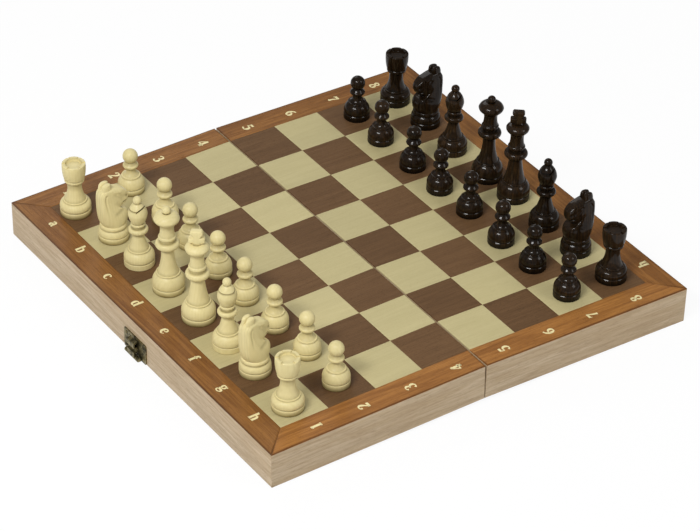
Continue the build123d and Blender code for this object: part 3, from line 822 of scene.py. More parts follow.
MAPLE = Veneer(
    "maple", paint(199, 187, 139), paint(187, 175, 127), paint(176, 161, 114), paint(158, 140, 94),
    band_width=7.0, band_share=0.35, line_width=0.7, line_share=0.2, pore_length=1.2, pore_share=0.3,
    tone_share=0.05, roughness=0.46,
)
WALNUT = Veneer(
    "walnut", paint(114, 85, 57), paint(94, 69, 45), paint(78, 55, 36), paint(54, 38, 24),
    band_width=6.0, band_share=0.4, line_width=0.8, line_share=0.3, pore_length=1.6, pore_share=0.55,
    tone_share=0.1, roughness=0.5, shine=0.1,
)
MAHOGANY = Veneer(
    "mahogany", paint(166, 114, 58), paint(130, 84, 40), paint(108, 64, 28), paint(74, 42, 20),
    band_width=5.0, band_share=0.75, line_width=0.9, line_share=0.5, pore_length=3.4, pore_share=0.5,
    tone_share=0.3, wave=1.0, edge_share=0.7, roughness=0.42, varnish=0.04, shine=0.12,
)
SIDE_WOOD = Veneer(
    "side_veneer", paint(206, 186, 156), paint(186, 162, 128), paint(160, 134, 102), paint(134, 108, 80),
    band_width=5.5, band_share=0.75, line_width=0.8, line_share=0.5, pore_length=5.0, pore_share=0.4,
    tone_share=0.04, wave=1.2, roughness=0.5,
)
PANEL_BOARD = Veneer(
    "panel_board", paint(188, 160, 118), paint(168, 138, 98), paint(150, 120, 84), paint(120, 94, 64),
    band_width=14.0, line_width=1.2, roughness=0.6,
)
BOXWOOD = TurnedWood(
    "boxwood", paint(223, 209, 154), paint(206, 190, 130), paint(194, 175, 116), paint(108, 90, 42),
    ring_share=0.15, streak_share=0.12, deep_share=0.9, roughness=0.42, lacquer=0.1, lacquer_roughness=0.25,
)
LACQUERED = TurnedWood(
    "lacquered_wood", paint(32, 22, 12), paint(15, 10, 6), paint(64, 44, 22), paint(5, 4, 2),
    ring_share=0.5, streak_share=0.45, deep_share=0.9, roughness=0.34, lacquer=0.3, lacquer_roughness=0.07,
    shine=0.04, tone_share=0.35, cloud_share=0.9,
)
ANTIQUE_BRASS = Brass("antique_brass", paint(140, 129, 92), paint(46, 41, 18), 0.66, 0.36)
HINGE_BRASS = Brass("hinge_brass", paint(206, 172, 98), paint(128, 98, 50), 0.22, 0.28)
GREEN_FELT = Felt("felt", paint(28, 66, 44), paint(62, 104, 74))
CREAM = Inlay("cream_inlay", paint(238, 224, 168), paint(196, 164, 104))


# ---------------------------------------------------------------- from a form to a piece
def material_once(
    made: dict[str, bpy.types.Material], finish: object, source: Source | None = None
) -> bpy.types.Material:
    """The material of a finish, built the first time that it is asked for.

    Args:
        made: The materials built so far.
        finish: The finish.
        source: What a veneer's pattern is laid out by.

    Returns:
        The material.
    """
    key = finish.name + (f"_{source.name}" if source else "")
    if key not in made:
        made[key] = finish.material(source) if source else finish.material()
    return made[key]


@dataclass(frozen=True)
class Half:
    """One half of the box as it lies open flat: a turn about the hinge axis, and its height."""

    name: str
    body: str
    droop: float  # degrees
    faces_white: bool
    axis_height: float = 2.5

    def turn(self) -> np.ndarray:
        """The turn from the half's own frame to the box's.

        Returns:
            A matrix of three rows.
        """
        angle = math.radians(-self.droop if self.faces_white else self.droop)
        cosine, sine = math.cos(angle), math.sin(angle)
        tilt = np.array([[cosine, 0, sine], [0, 1, 0], [-sine, 0, cosine]])
        return tilt @ np.diag([-1.0, -1.0, 1.0]) if self.faces_white else tilt

    def placed(self, form: Form) -> Form:
        """A form moved from the half's own frame to the box's."""
        return form.moved(self.turn(), np.array([0, 0, self.axis_height]))


def add_piece(
    name: str,
    form: Form,
    material: bpy.types.Material,
    body: str,
    stands_for: tuple[str, ...] = (),
    sharp: float = 32.0,
) -> bpy.types.Object:
    """Makes a form in the box's frame into a piece that rides on a body.

    Args:
        name: The piece's name.
        form: Its shape in millimetres.
        material: Its material.
        body: The body that it rides on.
        stands_for: The CAD nodes that it replaces.
        sharp: The angle in degrees past which an edge stays sharp.

    Returns:
        The new object, at the origin and unturned.
    """
    mesh = bpy.data.meshes.new(name)
    mesh.vertices.add(len(form.points))
    mesh.vertices.foreach_set("co", (form.points * MM).astype(np.float32).ravel())
    corners = np.concatenate([group.ravel() for group in form.faces]).astype(np.int32)
    sizes = np.concatenate([np.full(len(group), group.shape[1]) for group in form.faces])
    mesh.loops.add(len(corners))
    mesh.loops.foreach_set("vertex_index", corners)
    mesh.polygons.add(len(sizes))
    mesh.polygons.foreach_set("loop_start", (np.cumsum(sizes) - sizes).astype(np.int32))
    mesh.update(calc_edges=True)
    mesh.validate()
    grain = mesh.attributes.new("grain", "FLOAT_VECTOR", "POINT")
    grain.data.foreach_set("vector", (form.grain * MM).astype(np.float32).ravel())
    for mark, values in (("groove", form.groove), ("tone", form.tones)):
        mesh.attributes.new(mark, "FLOAT", "POINT").data.foreach_set("value", values.astype(np.float32))
    mesh.polygons.foreach_set("use_smooth", np.ones(len(mesh.polygons), bool))
    mesh.set_sharp_from_angle(angle=math.radians(sharp))
    mesh.materials.append(material)
    piece = bpy.data.objects.new(name, mesh)
    bpy.context.scene.collection.objects.link(piece)
    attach(piece, body)
    if stands_for:
        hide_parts(*stands_for)
    LOG.info("%s: %d points, rides on %s", name, len(form.points), body)
    return piece


def dress(node: str, material: bpy.types.Material) -> None:
    """Gives a CAD node its material.

    Args:
        node: The node's name.
        material: What it is made of.
    """
    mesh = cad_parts[node].data
    mesh.materials.clear()
    mesh.materials.append(material)
    LOG.info("%s: CAD shape, %s", node, material.name)


# ---------------------------------------------------------------- the board
# The tones of the border strips of the white and the black half: end, +Y and -Y in the half's frame; the
# white end strip's low tone is painted shade.
STRIP_TONES_AND_SHADE = ((0.22, 0.78, 0.36), (0.36, 0.36, 0.78))
SQUARE_SEEDS, STRIP_SEED = (7, 11), 21
ALONG_X, ALONG_Y = np.array([1.0, 0.0]), np.array([0.0, 1.0])
END_WALL_PLACE, SIDE_WALL_PLACE = 1.3, 4.7


@dataclass
class Board:
    """The squares, borders, walls, panels and linings of both halves. Sizes in millimetres."""

    square: float = 33.0
    ranks: int = 4
    files: int = 8
    border: float = 18.0
    veneer: float = 0.8
    panel: float = 3.6
    felt: float = 0.8
    wall: float = 8.0
    fold_wall: float = 9.0
    rebate: float = 4.0
    wall_height: float = 23.8
    fold_face: float = 0.3
    rim: float = 0.15
    felt_play: float = 0.5
    joint: float = 0.1  # bevel along a veneer's edges
    arris: float = 0.45  # bevel along a wall's outer edges
    top_arris: float = 0.15  # and along its top, under the border
    dark_edge: float = 0.9  # how far in a border's darkened edge fades
    grain_spread: float = 400.0  # how far apart in the wood pieces are cut
    wall_step: tuple[float, float, float] = (310.0, 47.0, 23.0)  # from one wall's place to the next
    felt_edge: float = 0.3  # how far in the felt's shoulder lies
    felt_shoulder: float = 0.35  # and how much thinner the felt is there
    felt_columns: tuple[int, int] = (70, 150)
    # The felt's waves: how deep in mm, and the two lengths that its sines are divided by.
    felt_waves: tuple[tuple[float, float, float], ...] = ((0.12, 5.1, 6.3), (0.07, 1.9, 2.3))
    made: dict[str, bpy.types.Material] = field(default_factory=dict)

    def __post_init__(self) -> None:
        """Works out the levels and edges that the pieces share."""
        self.field_end = self.fold_face + self.ranks * self.square
        self.end = self.field_end + self.border
        self.side = self.files * self.square / 2 + self.border
        self.wall_top = self.rim + self.wall_height
        self.top = self.wall_top + self.veneer

    def droop(self) -> float:
        """How far each half leans down from the hinge barrels to its far rim, in degrees."""
        reach = math.hypot(self.end, self.rim)
        return math.degrees(math.atan2(self.rim, self.end) + math.asin(Half.axis_height / reach))

    def halves(self) -> tuple[Half, Half]:
        """The white half and the black half."""
        return tuple(Half(name, f"{name}_half", self.droop(), name == "white") for name in ("white", "black"))

    def slab(self, corners: list[Span], bevel: float, length: np.ndarray, dark_edges: int = 0) -> Form:
        """A piece of the playing surface on a convex outline, its upper edges bevelled.

        The outline is carried up through levels (inset, height). A corner inset by d moves along the
        bisector of its two edges by d over the cosine of half the turn.

        Args:
            corners: The outline, in order.
            bevel: The width of the bevel.
            length: The direction of the wood's length in plan.
            dark_edges: How many of the first corners lie on an edge that has darkened.

        Returns:
            The closed form.
        """
        plan = np.array(corners, float)
        before = plan - np.roll(plan, 1, axis=0)
        after = np.roll(plan, -1, axis=0) - plan
        into = before / np.hypot(*before.T)[:, None]
        out = after / np.hypot(*after.T)[:, None]
        turn = np.sign((before[:, 0] * after[:, 1] - before[:, 1] * after[:, 0]).sum())
        left_in = np.stack([-into[:, 1], into[:, 0]], axis=1) * turn
        left_out = np.stack([-out[:, 1], out[:, 0]], axis=1) * turn
        bisector = left_in + left_out
        bisector /= (1 + (left_in * left_out).sum(axis=1))[:, None]
        low, high, eased = self.wall_top, self.top, bevel * EASE
        levels = [
            (0.0, low), (0.0, high - bevel), (eased, high - eased),
            (bevel, high), (bevel + self.dark_edge, high),
        ]
        rings = [np.column_stack([plan + bisector * inset, np.full(len(plan), up)]) for inset, up in levels]
        form = capped_rings(np.array(rings))
        # The bevel along the first corners' edges is marked, and the veneer darkens it towards its pore
        # colour.
        worn = np.zeros((len(levels), len(plan)))
        worn[1:-1, :dark_edges] = 1.0
        form.groove = worn.ravel()
        return laid(form, length)

    def squares(self, dark: bool, seed: int) -> Form:
        """The light or the dark squares of one half.

        Args:
            dark: Whether the dark ones are wanted.
            seed: What their places in the wood are drawn from.

        Returns:
            The squares as one form.
        """
        draw = np.random.default_rng(seed)
        forms = []
        for rank in range(self.ranks):
            for number in range(self.files):
                if (rank + number) % 2 != int(dark):
                    continue
                x = self.fold_face + rank * self.square
                y = (number - self.files / 2) * self.square
                far_x, far_y = x + self.square, y + self.square
                corners = [(x, y), (far_x, y), (far_x, far_y), (x, far_y)]
                tile = self.slab(corners, self.joint, ALONG_X)
                offset = tuple(draw.uniform(-self.grain_spread, self.grain_spread, 3))
                forms.append(tile.toned(float(draw.uniform()), offset))
        return joined(forms)

    def border_strips(self, seed: int, tones: tuple[float, float, float]) -> Form:
        """The three border strips of one half, mitred at the outer corners.

        Args:
            seed: What their places in the wood are drawn from.
            tones: The tones of the end strip and the two side strips.

        Returns:
            The strips as one form.
        """
        draw = np.random.default_rng(seed)
        inner, outer = self.side - self.border, self.side
        end = [(self.end, -outer), (self.end, outer), (self.field_end, inner), (self.field_end, -inner)]
        side = [(self.fold_face, outer), (self.end, outer), (self.field_end, inner), (self.fold_face, inner)]
        other = [(x, -y) for x, y in side]
        forms = []
        for corners, length, tone in zip((end, side, other), (ALONG_Y, ALONG_X, ALONG_X), tones):
            strip = self.slab(corners, self.joint * 2, length, dark_edges=2)
            forms.append(strip.toned(tone, tuple(draw.uniform(-self.grain_spread, self.grain_spread, 3))))
        return joined(forms)

    def wall_section(self, width: float) -> np.ndarray:
        """The outline across a wall with its ledge: (share of the width from outside, height).

        Args:
            width: The wall's thickness.

        Returns:
            The corners in order, from the foot of the outer face up and over.
        """
        ledge, a, top = (width - self.rebate) / width, self.arris / width, self.top_arris
        low, high, floor = self.rim, self.wall_top, self.wall_top - self.panel
        return np.array([
            (a, low), (a * EASE, low + self.arris * EASE), (0, low + self.arris), (0, high - top),
            (top / width, high), (ledge, high), (ledge, floor), (1, floor),
            (1, low + self.arris), (1 - a * EASE, low + self.arris * EASE), (1 - a, low),
        ])

    def mitred_wall(self, outer: np.ndarray, inner: np.ndarray, width: float, seed: float) -> Form:
        """One wall: its section carried from one mitre to the other.

        The section's point at share s of the width lies at outer + s (inner - outer) at each end.

        Args:
            outer: The two ends of its outer face in plan.
            inner: The two ends of its inner face in plan.
            width: Its thickness.
            seed: Where in the wood it is cut.

        Returns:
            The closed form.
        """
        section = self.wall_section(width)
        share, up = section[:, 0][:, None], section[:, 1]
        ends = [outer[n] + share * (inner[n] - outer[n]) for n in (0, 1)]
        form = capped_rings(np.array([np.column_stack([end, up]) for end in ends]))
        length = (outer[1] - outer[0]) / np.hypot(*(outer[1] - outer[0]))
        return laid(form, length).toned(PLAIN_TONE, tuple(seed * step for step in self.wall_step))

    def end_wall(self, seed: float) -> Form:
        """The wall at the far end of a half.

        Args:
            seed: Where in the wood it is cut.

        Returns:
            The wall, as a closed form.
        """
        far, near = self.side, self.side - self.wall
        outer = np.array([(self.end, -far), (self.end, far)])
        inner = np.array([(self.end - self.wall, -near), (self.end - self.wall, near)])
        return self.mitred_wall(outer, inner, self.wall, seed)

    def side_walls(self, seed: float) -> Form:
        """The two walls along the sides of a half.

        Args:
            seed: Where in the wood they are cut.

        Returns:
            Both walls as one form.
        """
        forms = []
        for sign in (1, -1):
            outer = np.array([(self.end, sign * self.side), (self.fold_face, sign * self.side)])
            near = sign * (self.side - self.wall)
            inner = np.array([(self.end - self.wall, near), (self.fold_face + self.fold_wall, near)])
            forms.append(self.mitred_wall(outer, inner, self.wall, seed + sign))
        return joined(forms)

    def lining(self) -> Form:
        """The felt under the panel, its free face a little uneven.

        The free face lies a (1 + sin(x / p) cos(y / q)) / 2 + b (1 + sin(x / r + y / s)) / 2 in from
        the felt's full thickness, and its edges are rounded.

        Returns:
            The closed form.
        """
        low_x = self.fold_face + self.fold_wall + self.felt_play
        high_x, reach = (side - self.wall - self.felt_play for side in (self.end, self.side))
        x, y = (
            np.concatenate([[a, a], np.linspace(a + self.felt_edge, b - self.felt_edge, count), [b, b]])
            for a, b, count in zip((low_x, -reach), (high_x, reach), self.felt_columns)
        )
        grid_x, grid_y = np.meshgrid(x, y, indexing="ij")
        up = self.wall_top - self.panel
        (broad, p, q), (fine, r, s) = self.felt_waves
        uneven = broad * (1 + np.sin(grid_x / p) * np.cos(grid_y / q)) / 2
        uneven = uneven + fine * (1 + np.sin(grid_x / r + grid_y / s)) / 2
        rows_in, columns_in = (np.minimum(np.arange(n), np.arange(n)[::-1]) for n in grid_x.shape)
        steps_in = np.minimum(rows_in[:, None], columns_in[None, :])
        depth = np.where(steps_in == 1, self.felt - self.felt_shoulder, self.felt - uneven)
        free = np.stack([grid_x, grid_y, up - np.where(steps_in == 0, 0.0, depth)], axis=2)
        glued = np.stack([grid_x, grid_y, np.full_like(grid_x, up)], axis=2)
        both = np.concatenate([free.reshape(-1, 3), glued.reshape(-1, 3)])
        sheet = lattice(*grid_x.shape, False)
        points, faces, _ = welded(both, [sheet, sheet[:, ::-1] + grid_x.size])
        return Form(points, faces)

    def build(self) -> None:
        """Makes and dresses every wooden piece and the linings of both halves."""
        maple, walnut, mahogany, side = (
            material_once(self.made, veneer, Source.WOOD) for veneer in (MAPLE, WALNUT, MAHOGANY, SIDE_WOOD)
        )
        felt = material_once(self.made, GREEN_FELT)
        for number, half in enumerate(self.halves()):
            strips = self.border_strips(STRIP_SEED + number, STRIP_TONES_AND_SHADE[number])
            pieces = (
                ("light_squares", self.squares(False, SQUARE_SEEDS[0] + number), maple, "maple"),
                ("dark_squares", self.squares(True, SQUARE_SEEDS[1] + number), walnut, "walnut"),
                ("border_strips", strips, mahogany, "mahogany"),
                ("end_wall", self.end_wall(END_WALL_PLACE + number), side, "side_veneer"),
                ("side_walls", self.side_walls(SIDE_WALL_PLACE + number), side, "side_veneer"),
                ("felt_lining", self.lining(), felt, "felt"),
            )
            for name, form, material, slot in pieces:
                node = f"{half.name}_{name}"
                made = add_piece(f"{node}_finished", half.placed(form), material, half.body, (node,))
                name == "felt_lining"
            dress(f"{half.name}_fold_wall", material_once(self.made, SIDE_WOOD, Source.ALONG_Y))
            dress(f"{half.name}_panel", material_once(self.made, PANEL_BOARD, Source.ALONG_Y))


# ---------------------------------------------------------------- the coordinates
# Each glyph is a line of strokes parted by "/", and each stroke a run of points "across up width" in
# hundredths of a numeral's height. A stroke of two points is straight; a longer one is a smooth curve.
Stroke = list[tuple[float, ...]]
GLYPHS = {
    "1": "30 2 19,30 98 19/28 93 10,10 82 6/10 4 8,50 4 8",
    "2": "15 72 16,18 88 10,34 95 8,52 84 16,52 66 18,36 38 12,12 10 7/8 9 18,60 9 16",
    "3": (
        "12 80 16,20 92 8,36 95 8,50 82 16,46 62 14,26 54 7/26 54 7,48 48 12,56 28 19,44 7 11,24 5 8,"
        "11 17 17"
    ),
    "4": "46 0 18,46 98 18/42 95 7,6 30 7/4 27 11,66 27 11/32 4 8,60 4 8",
    "5": "16 91 16,56 91 16/18 90 7,15 54 7/15 54 6,34 60 9,54 48 17,56 26 19,42 6 11,22 6 8,11 18 17",
    "6": "54 92 10,34 86 12,18 62 17,14 32 19,24 8 12,36 4 8,52 14 16,54 36 18,40 53 9,22 46 6,15 36 6",
    "7": "8 90 17,60 90 17/56 86 7,38 48 13,28 2 19/11 88 6,8 70 6",
    "8": (
        "34 95 8,18 88 13,16 70 16,34 54 12,52 38 16,54 18 16,34 4 8,14 16 15,16 38 12,34 53 8,48 68 12,"
        "49 86 12,34 95 8"
    ),
    "a": (
        "12 52 15,26 65 8,42 58 14,44 40 17,44 16 17,52 4 10,60 8 6/44 41 7,22 33 11,13 18 17,24 5 10,"
        "42 14 6"
    ),
    "b": "16 2 18,16 98 18/2 96 7,16 96 7/20 52 6,36 65 9,54 52 17,55 20 17,38 4 9,20 12 6",
    "c": "52 50 16,46 62 8,32 65 8,16 52 17,14 24 19,28 5 11,42 4 7,56 16 6",
    "d": "50 2 18,50 98 18/36 96 7,50 96 7/50 4 7,66 4 7/46 52 6,30 65 9,13 52 17,12 20 17,28 4 9,46 12 6",
    "e": "14 37 7,52 37 7/54 37 12,50 58 13,34 66 8,16 52 17,14 24 19,28 5 11,42 4 7,56 16 6",
    "f": "24 2 18,24 74 18,32 93 10,42 95 7,50 86 15/6 62 8,46 62 8/8 4 8,42 4 8",
    "g": (
        "28 65 8,12 56 13,12 36 13,28 26 8,44 36 13,44 56 13,28 65 8/42 60 7,60 62 11/18 28 7,11 17 9,"
        "24 9 14,48 5 16,54 -10 12,34 -24 8,10 -18 9,8 -4 9,22 6 7"
    ),
    "h": "16 2 18,16 98 18/2 96 7,16 96 7/2 4 8,31 4 8/20 48 6,36 64 10,51 50 17,51 2 18/38 4 8,66 4 8",
}


def drawn(strokes: str) -> list[Stroke]:
    """The strokes of a glyph, read from its line."""
    return [[tuple(float(part) / 100 for part in point.split()) for point in stroke.split(",")]
            for stroke in strokes.split("/")]


@dataclass
class Lettering:
    """The files' letters along the ends and the ranks' numerals along the sides, inlaid in cream."""

    board: Board
    height: float = 7.4  # mm, of a numeral
    proud: float = 0.02  # how far the inlay stands above the wood
    deep: float = 0.3  # how far it goes in
    steps: int = 7  # points along a curve from one given point to the next
    middle_up: float = 0.49  # what lies at a glyph's place, in shares of the height
    bold: float = 1.3  # how much wider the strokes are than written
    white_letters_in: float = 2.2  # how far the white half's letters lie in from the border's middle
    black_letters_out: float = 1.2  # how far the black half's lie out from it
    numerals_along: float = 1.4  # how far the numerals lie towards the black end
    numerals_aside: float = -1.0  # and towards the a side

    def stroke(self, points: Stroke) -> Form:
        """One stroke: a ribbon with upright sides.

        The curve's point p, with its direction turned a quarter to the side as s, gives the corners
        p + w s and p - w s for half its width w, at the two levels of the inlay.

        Args:
            points: The stroke.

        Returns:
            The closed form.
        """
        spans = len(points) - 1
        share = np.linspace(0, 1, 2 if spans == 1 else spans * self.steps + 1)
        line = smooth_line(points, share) * self.height
        way = np.gradient(line[:, :2], axis=0)
        way /= np.hypot(*way.T)[:, None]
        side = np.column_stack([-way[:, 1], way[:, 0]]) * line[:, 2:] * (self.bold / 2)
        low, high = (np.full((len(line), 1), level) for level in (-self.deep, self.proud))
        left, right = line[:, :2] + side, line[:, :2] - side
        corners = ((left, low), (left, high), (right, high), (right, low))
        return capped_rings(np.stack([np.hstack(corner) for corner in corners], axis=1))

    def glyph(self, name: str, place: tuple[float, float], up: float) -> Form:
        """One glyph in a half's own frame.

        Args:
            name: Which glyph.
            place: Where its middle lies in plan.
            up: The direction of its top: 1 for +X and -1 for -X.

        Returns:
            The form.
        """
        strokes = joined([self.stroke(points) for points in drawn(GLYPHS[name])])
        low, high = strokes.points[:, 0].min(), strokes.points[:, 0].max()
        turn = np.array([[0.0, up, 0.0], [-up, 0.0, 0.0], [0.0, 0.0, 1.0]])
        centred = strokes.moved(np.eye(3), np.array([-(low + high) / 2, -self.middle_up * self.height, 0.0]))
        return centred.moved(turn, np.array([*place, self.board.top]))

    def half_forms(self, faces_white: bool) -> Form:
        """All the glyphs of one half.

        Args:
            faces_white: Whether it is the white half.

        Returns:
            The glyphs as one form, in the half's own frame.
        """
        board, sign = self.board, -1 if faces_white else 1
        middle = board.field_end + board.border / 2
        letters = middle - self.white_letters_in if faces_white else middle + self.black_letters_out
        aside = board.side - board.border / 2
        along, over = sign * self.numerals_along, sign * self.numerals_aside
        forms = []
        for file, letter in enumerate("abcdefgh"):
            y = sign * ((board.files - 1) / 2 - file) * board.square
            forms.append(self.glyph(letter, (letters, y), -1.0))
        for row in range(board.ranks):
            x = board.field_end - (row + 0.5) * board.square + along
            number = str(row + 1 if faces_white else board.files - row)
            forms += [self.glyph(number, (x, over - aside), -1.0), self.glyph(number, (x, over + aside), 1.0)]
        return joined(forms)

    def build(self) -> None:
        """Lays the glyphs of both halves into their borders."""
        cream = material_once(self.board.made, CREAM)
        for half in self.board.halves():
            form = half.placed(self.half_forms(half.faces_white))
            add_piece(f"{half.name}_coordinates", form, cream, half.body)


# ---------------------------------------------------------------- the men
BEVEL, BAND, GROOVE = 0.4, 3.8, 0.5
BELL_BOW, BEAD_BOW = 0.11, 0.27


def base_rows(radius: float) -> list[Row]:
    """A man's foot, its plain band and the groove above the band.

    Args:
        radius: The foot's radius.

    Returns:
        The rows, from the axis up.
    """
    return [
        (0, 0),
        (radius - BEVEL, 0),
        (radius, BEVEL),
        (radius, BAND),
        (radius - GROOVE, BAND + GROOVE),
        (radius - GROOVE / 5, BAND + 2 * GROOVE),
    ]


def bead_rows(radius: float, low: float, height: float) -> list[Row]:
    """A bead of a largest radius, from a height up."""
    bow = height * BEAD_BOW
    return [(radius - bow, low), (radius - bow, low + height, bow)]


@dataclass
class TurnedMan:
    """A turned man: foot, bell, bead, stem, collar and head.

    Attributes:
        base: Radius of the foot.
        shoulder: Radius at the top of the bell.
        bell: Height of the top of the bell.
        cove: How deep the stem's hollow is below its chord.
        stem: Radius of the stem where it is thinnest.
        waist: Height at which the hollow ends.
        neck: Height of the collar's underside.
        collar: Largest radius of the collar.
        rise: Height of the collar.
        crown: Height at which the head is widest.
        head: Largest radius of the head.
        height: Overall height. All are in millimetres.
    """

    base: float
    shoulder: float
    bell: float
    cove: float
    stem: float
    waist: float
    neck: float
    collar: float
    rise: float
    crown: float
    head: float
    height: float
    sides: int = 72
    bead: float = 1.0
    bead_step: float = 0.5
    ring_share: float = 0.74
    ring_gap: float = 0.45
    ring_height: float = 0.65

    def foot(self) -> list[Row]:
        """The outline from the axis under the foot to the underside of the collar.

        Returns:
            The rows, from the axis up.
        """
        return base_rows(self.base) + [
            (self.shoulder, self.bell, self.base * BELL_BOW),
            (self.shoulder, self.bell + self.bead, self.bead * BEAD_BOW),
            (self.shoulder - self.bead_step, self.bell + self.bead),
            (self.stem, self.waist, -self.cove),
            (self.stem, self.neck),
        ]

    def ring_top(self) -> float:
        """The height of the top of the ring above the collar."""
        return self.neck + self.rise * (1 + self.ring_gap + self.ring_height)

    def collars(self) -> list[Row]:
        """The collar at the neck, and the smaller ring above it.

        Returns:
            The rows, from the neck up.
        """
        ring, height = self.collar * self.ring_share, self.rise * self.ring_height
        low = self.ring_top() - height
        between = ring - height * BEAD_BOW
        collar = bead_rows(self.collar, self.neck, self.rise)
        return collar + [(between, self.neck + self.rise), (between, low)] + bead_rows(ring, low, height)[1:]

    @staticmethod
    def ball(radius: float, seat: float, top: float) -> list[Row]:
        """A ball with its top at a height, from the small radius that it sits on.

        Args:
            radius: Its radius.
            seat: The small radius.
            top: The height of its top.

        Returns:
            The rows, from its seat up.
        """
        drop = math.sqrt(radius**2 - seat**2)
        chord = math.hypot(radius - seat, drop)
        lower = radius - math.sqrt(radius**2 - chord**2 / 4)
        middle = top - radius
        return [(seat, middle - drop), (radius, middle, lower), (0, top, radius * (1 - math.sqrt(0.5)))]

    def outline(self) -> list[Row]:
        """The whole outline."""
        raise NotImplementedError

    def form(self) -> Form:
        """The man, standing on the origin and facing -X."""
        return turned(outline_points(self.outline()), even_angles(self.sides))


@dataclass
class Pawn(TurnedMan):
    """A pawn: a ball on a collar."""

    def outline(self) -> list[Row]:
        """The whole outline."""
        collar = bead_rows(self.collar, self.neck, self.rise)
        return self.foot() + collar + self.ball(self.head, self.stem, self.height)


@dataclass
class Rook(TurnedMan):
    """A rook: a cup with a hollow top and shallow crenels."""

    well_depth: float = 1.8
    rim_width: float = 2.2
    cup: float = 6.5
    crenels: int = 6
    crenel_width: float = 1.4
    crenel_depth: float = 0.6
    cheek: float = 0.004  # radians that a crenel's cheek takes
    clear: float = 0.02  # radians of a side that is left out beside a crenel

    def outline(self) -> list[Row]:
        """The whole outline.

        Returns:
            The rows, from axis to axis.
        """
        top, well = self.height, self.head - self.rim_width
        return self.foot() + bead_rows(self.collar, self.neck, self.rise) + [
            (self.cup, self.neck + self.rise + BEVEL),
            (self.head, top - BEVEL, BEVEL),
            (self.head - BEVEL, top),
            (well, top),
            (well - BEVEL, top - self.well_depth),
            (0, top - self.well_depth),
        ]

    def form(self) -> Form:
        """The rook: its rim is cut down by the crenel's depth between pairs of close angles.

        Returns:
            The closed form.
        """
        half = math.asin(self.crenel_width / 2 / (self.head - self.rim_width / 2))
        middles = (np.arange(self.crenels) + 0.5) * 2 * math.pi / self.crenels
        plain = even_angles(self.sides)
        plain = plain[np.abs(self.apart(plain, middles) - half) > self.clear]
        edges = [middles + sign * (half + out) for sign in (-1, 1) for out in (0.0, self.cheek)]
        angles = np.sort(np.concatenate([plain, np.concatenate(edges) % (2 * math.pi)]))
        in_crenel = self.apart(angles, middles) < half + self.cheek / 2
        lower = np.where(in_crenel, self.height - self.crenel_depth, self.height + 1)
        return turned(outline_points(self.outline()), angles, lower)

    @staticmethod
    def apart(angles: np.ndarray, middles: np.ndarray) -> np.ndarray:
        """How far each angle lies from the nearest of some others, the short way round."""
        gaps = (angles[:, None] - middles[None, :] + math.pi) % (2 * math.pi) - math.pi
        return np.abs(gaps).min(axis=1)


@dataclass
class Bishop(TurnedMan):
    """A bishop: a mitre with a slanting slit, and a ball on top."""

    finial: float = 2.7
    finial_seat: float = 2.0
    mitre_foot: float = 3.9
    slit: float = 0.9
    slant: float = 38.0
    slit_rise: float = 3.6
    slit_floor: float = 0.3
    mitre_bow: float = 0.06  # how far the mitre's lower side stands out, as a share of its radius
    tip_bow: float = 0.15  # and its upper side
    bend_below: float = 2.5  # mm below the widest place at which the bending starts
    bend_above: float = 0.4  # mm below the ball at which it ends
    bend_rows: int = 16
    bend_rounds: int = 40
    lean_power: float = 1.5
    crowding: float = 0.02  # what is left of the rows' gaps where they crowd at the top
    near: float = 0.05  # mm between the bent rows and the plain ones
    mitre_clear: float = 0.3  # mm above the ring at which the mitre is read

    def outline(self) -> list[Row]:
        """The whole outline.

        Returns:
            The rows, from axis to axis.
        """
        ball = self.ball(self.finial, self.finial_seat, self.height)
        return self.foot() + self.collars() + [
            (self.mitre_foot, self.ring_top()),
            (self.head, self.crown, self.head * self.mitre_bow),
            (self.finial_seat, ball[0][1], self.head * self.tip_bow),
        ] + ball[1:]

    def form(self) -> Form:
        """The bishop, its slit cut by bending the rows of the mitre to the slit's two faces.

        A row's height at the depth x is h + k tan(slant) max(x0 - x, 0), where k goes from 0 below the
        slit to 1 at it and back, and the row's radius is the outline's at that height. Between the two
        faces the points are held behind the slit's floor, x >= x0.

        Returns:
            The closed form.
        """
        line, angles, count = outline_points(self.outline()), even_angles(self.sides), self.bend_rows
        floor_x, centre = -self.head * self.slit_floor, self.crown + self.slit_rise
        low, high = self.crown - self.bend_below, self.height - 2 * self.finial - self.bend_above
        slope = math.tan(math.radians(self.slant))
        half = self.slit / 2 / math.cos(math.radians(self.slant))
        lower, upper = np.linspace(low, centre - half, count), np.linspace(centre + half, high, count)
        heights = np.concatenate([lower, lower[-1:], upper[:1], upper])[:, None]
        rise, fall = (np.linspace(start, 1 - start, count) ** self.lean_power for start in (0, 1))
        lean = np.concatenate([rise, [1.0, 1.0], fall])[:, None]
        mitre_line = line[line[:, 1] > self.ring_top() + self.mitre_clear]
        z = np.broadcast_to(heights, (len(heights), len(angles))).copy()
        for _ in range(self.bend_rounds):
            x = np.interp(z, mitre_line[:, 1], mitre_line[:, 0]) * np.cos(angles)
            wanted = heights + lean * slope * np.maximum(floor_x - x, 0)
            z = 0.5 * z + 0.5 * np.minimum(wanted, high + self.crowding * (heights - low))
        radius = np.interp(z, mitre_line[:, 1], mitre_line[:, 0])
        x, y = radius * np.cos(angles), radius * np.sin(angles)
        inside = slice(count, count + 2)
        z[inside] = np.where(x[inside] < floor_x, heights[inside], z[inside])
        x[inside] = np.maximum(x[inside], floor_x)
        # The inside of the slit is marked as a groove, which the finish darkens as painted shade.
        hollow = np.zeros_like(z)
        hollow[inside] = 1.0
        points, groove = [np.stack([x, y, z], axis=2)], [hollow]
        for part, at in ((line[line[:, 1] < low - self.near], 0), (line[line[:, 1] > high + self.near], 2)):
            points.insert(at, ring_points(part[:, 0][:, None], angles, part[:, 1][:, None]))
            groove.insert(at, np.broadcast_to(groove_depth(part)[:, None], points[at].shape[:2]))
        return grid_form(np.concatenate(points), np.concatenate(groove))


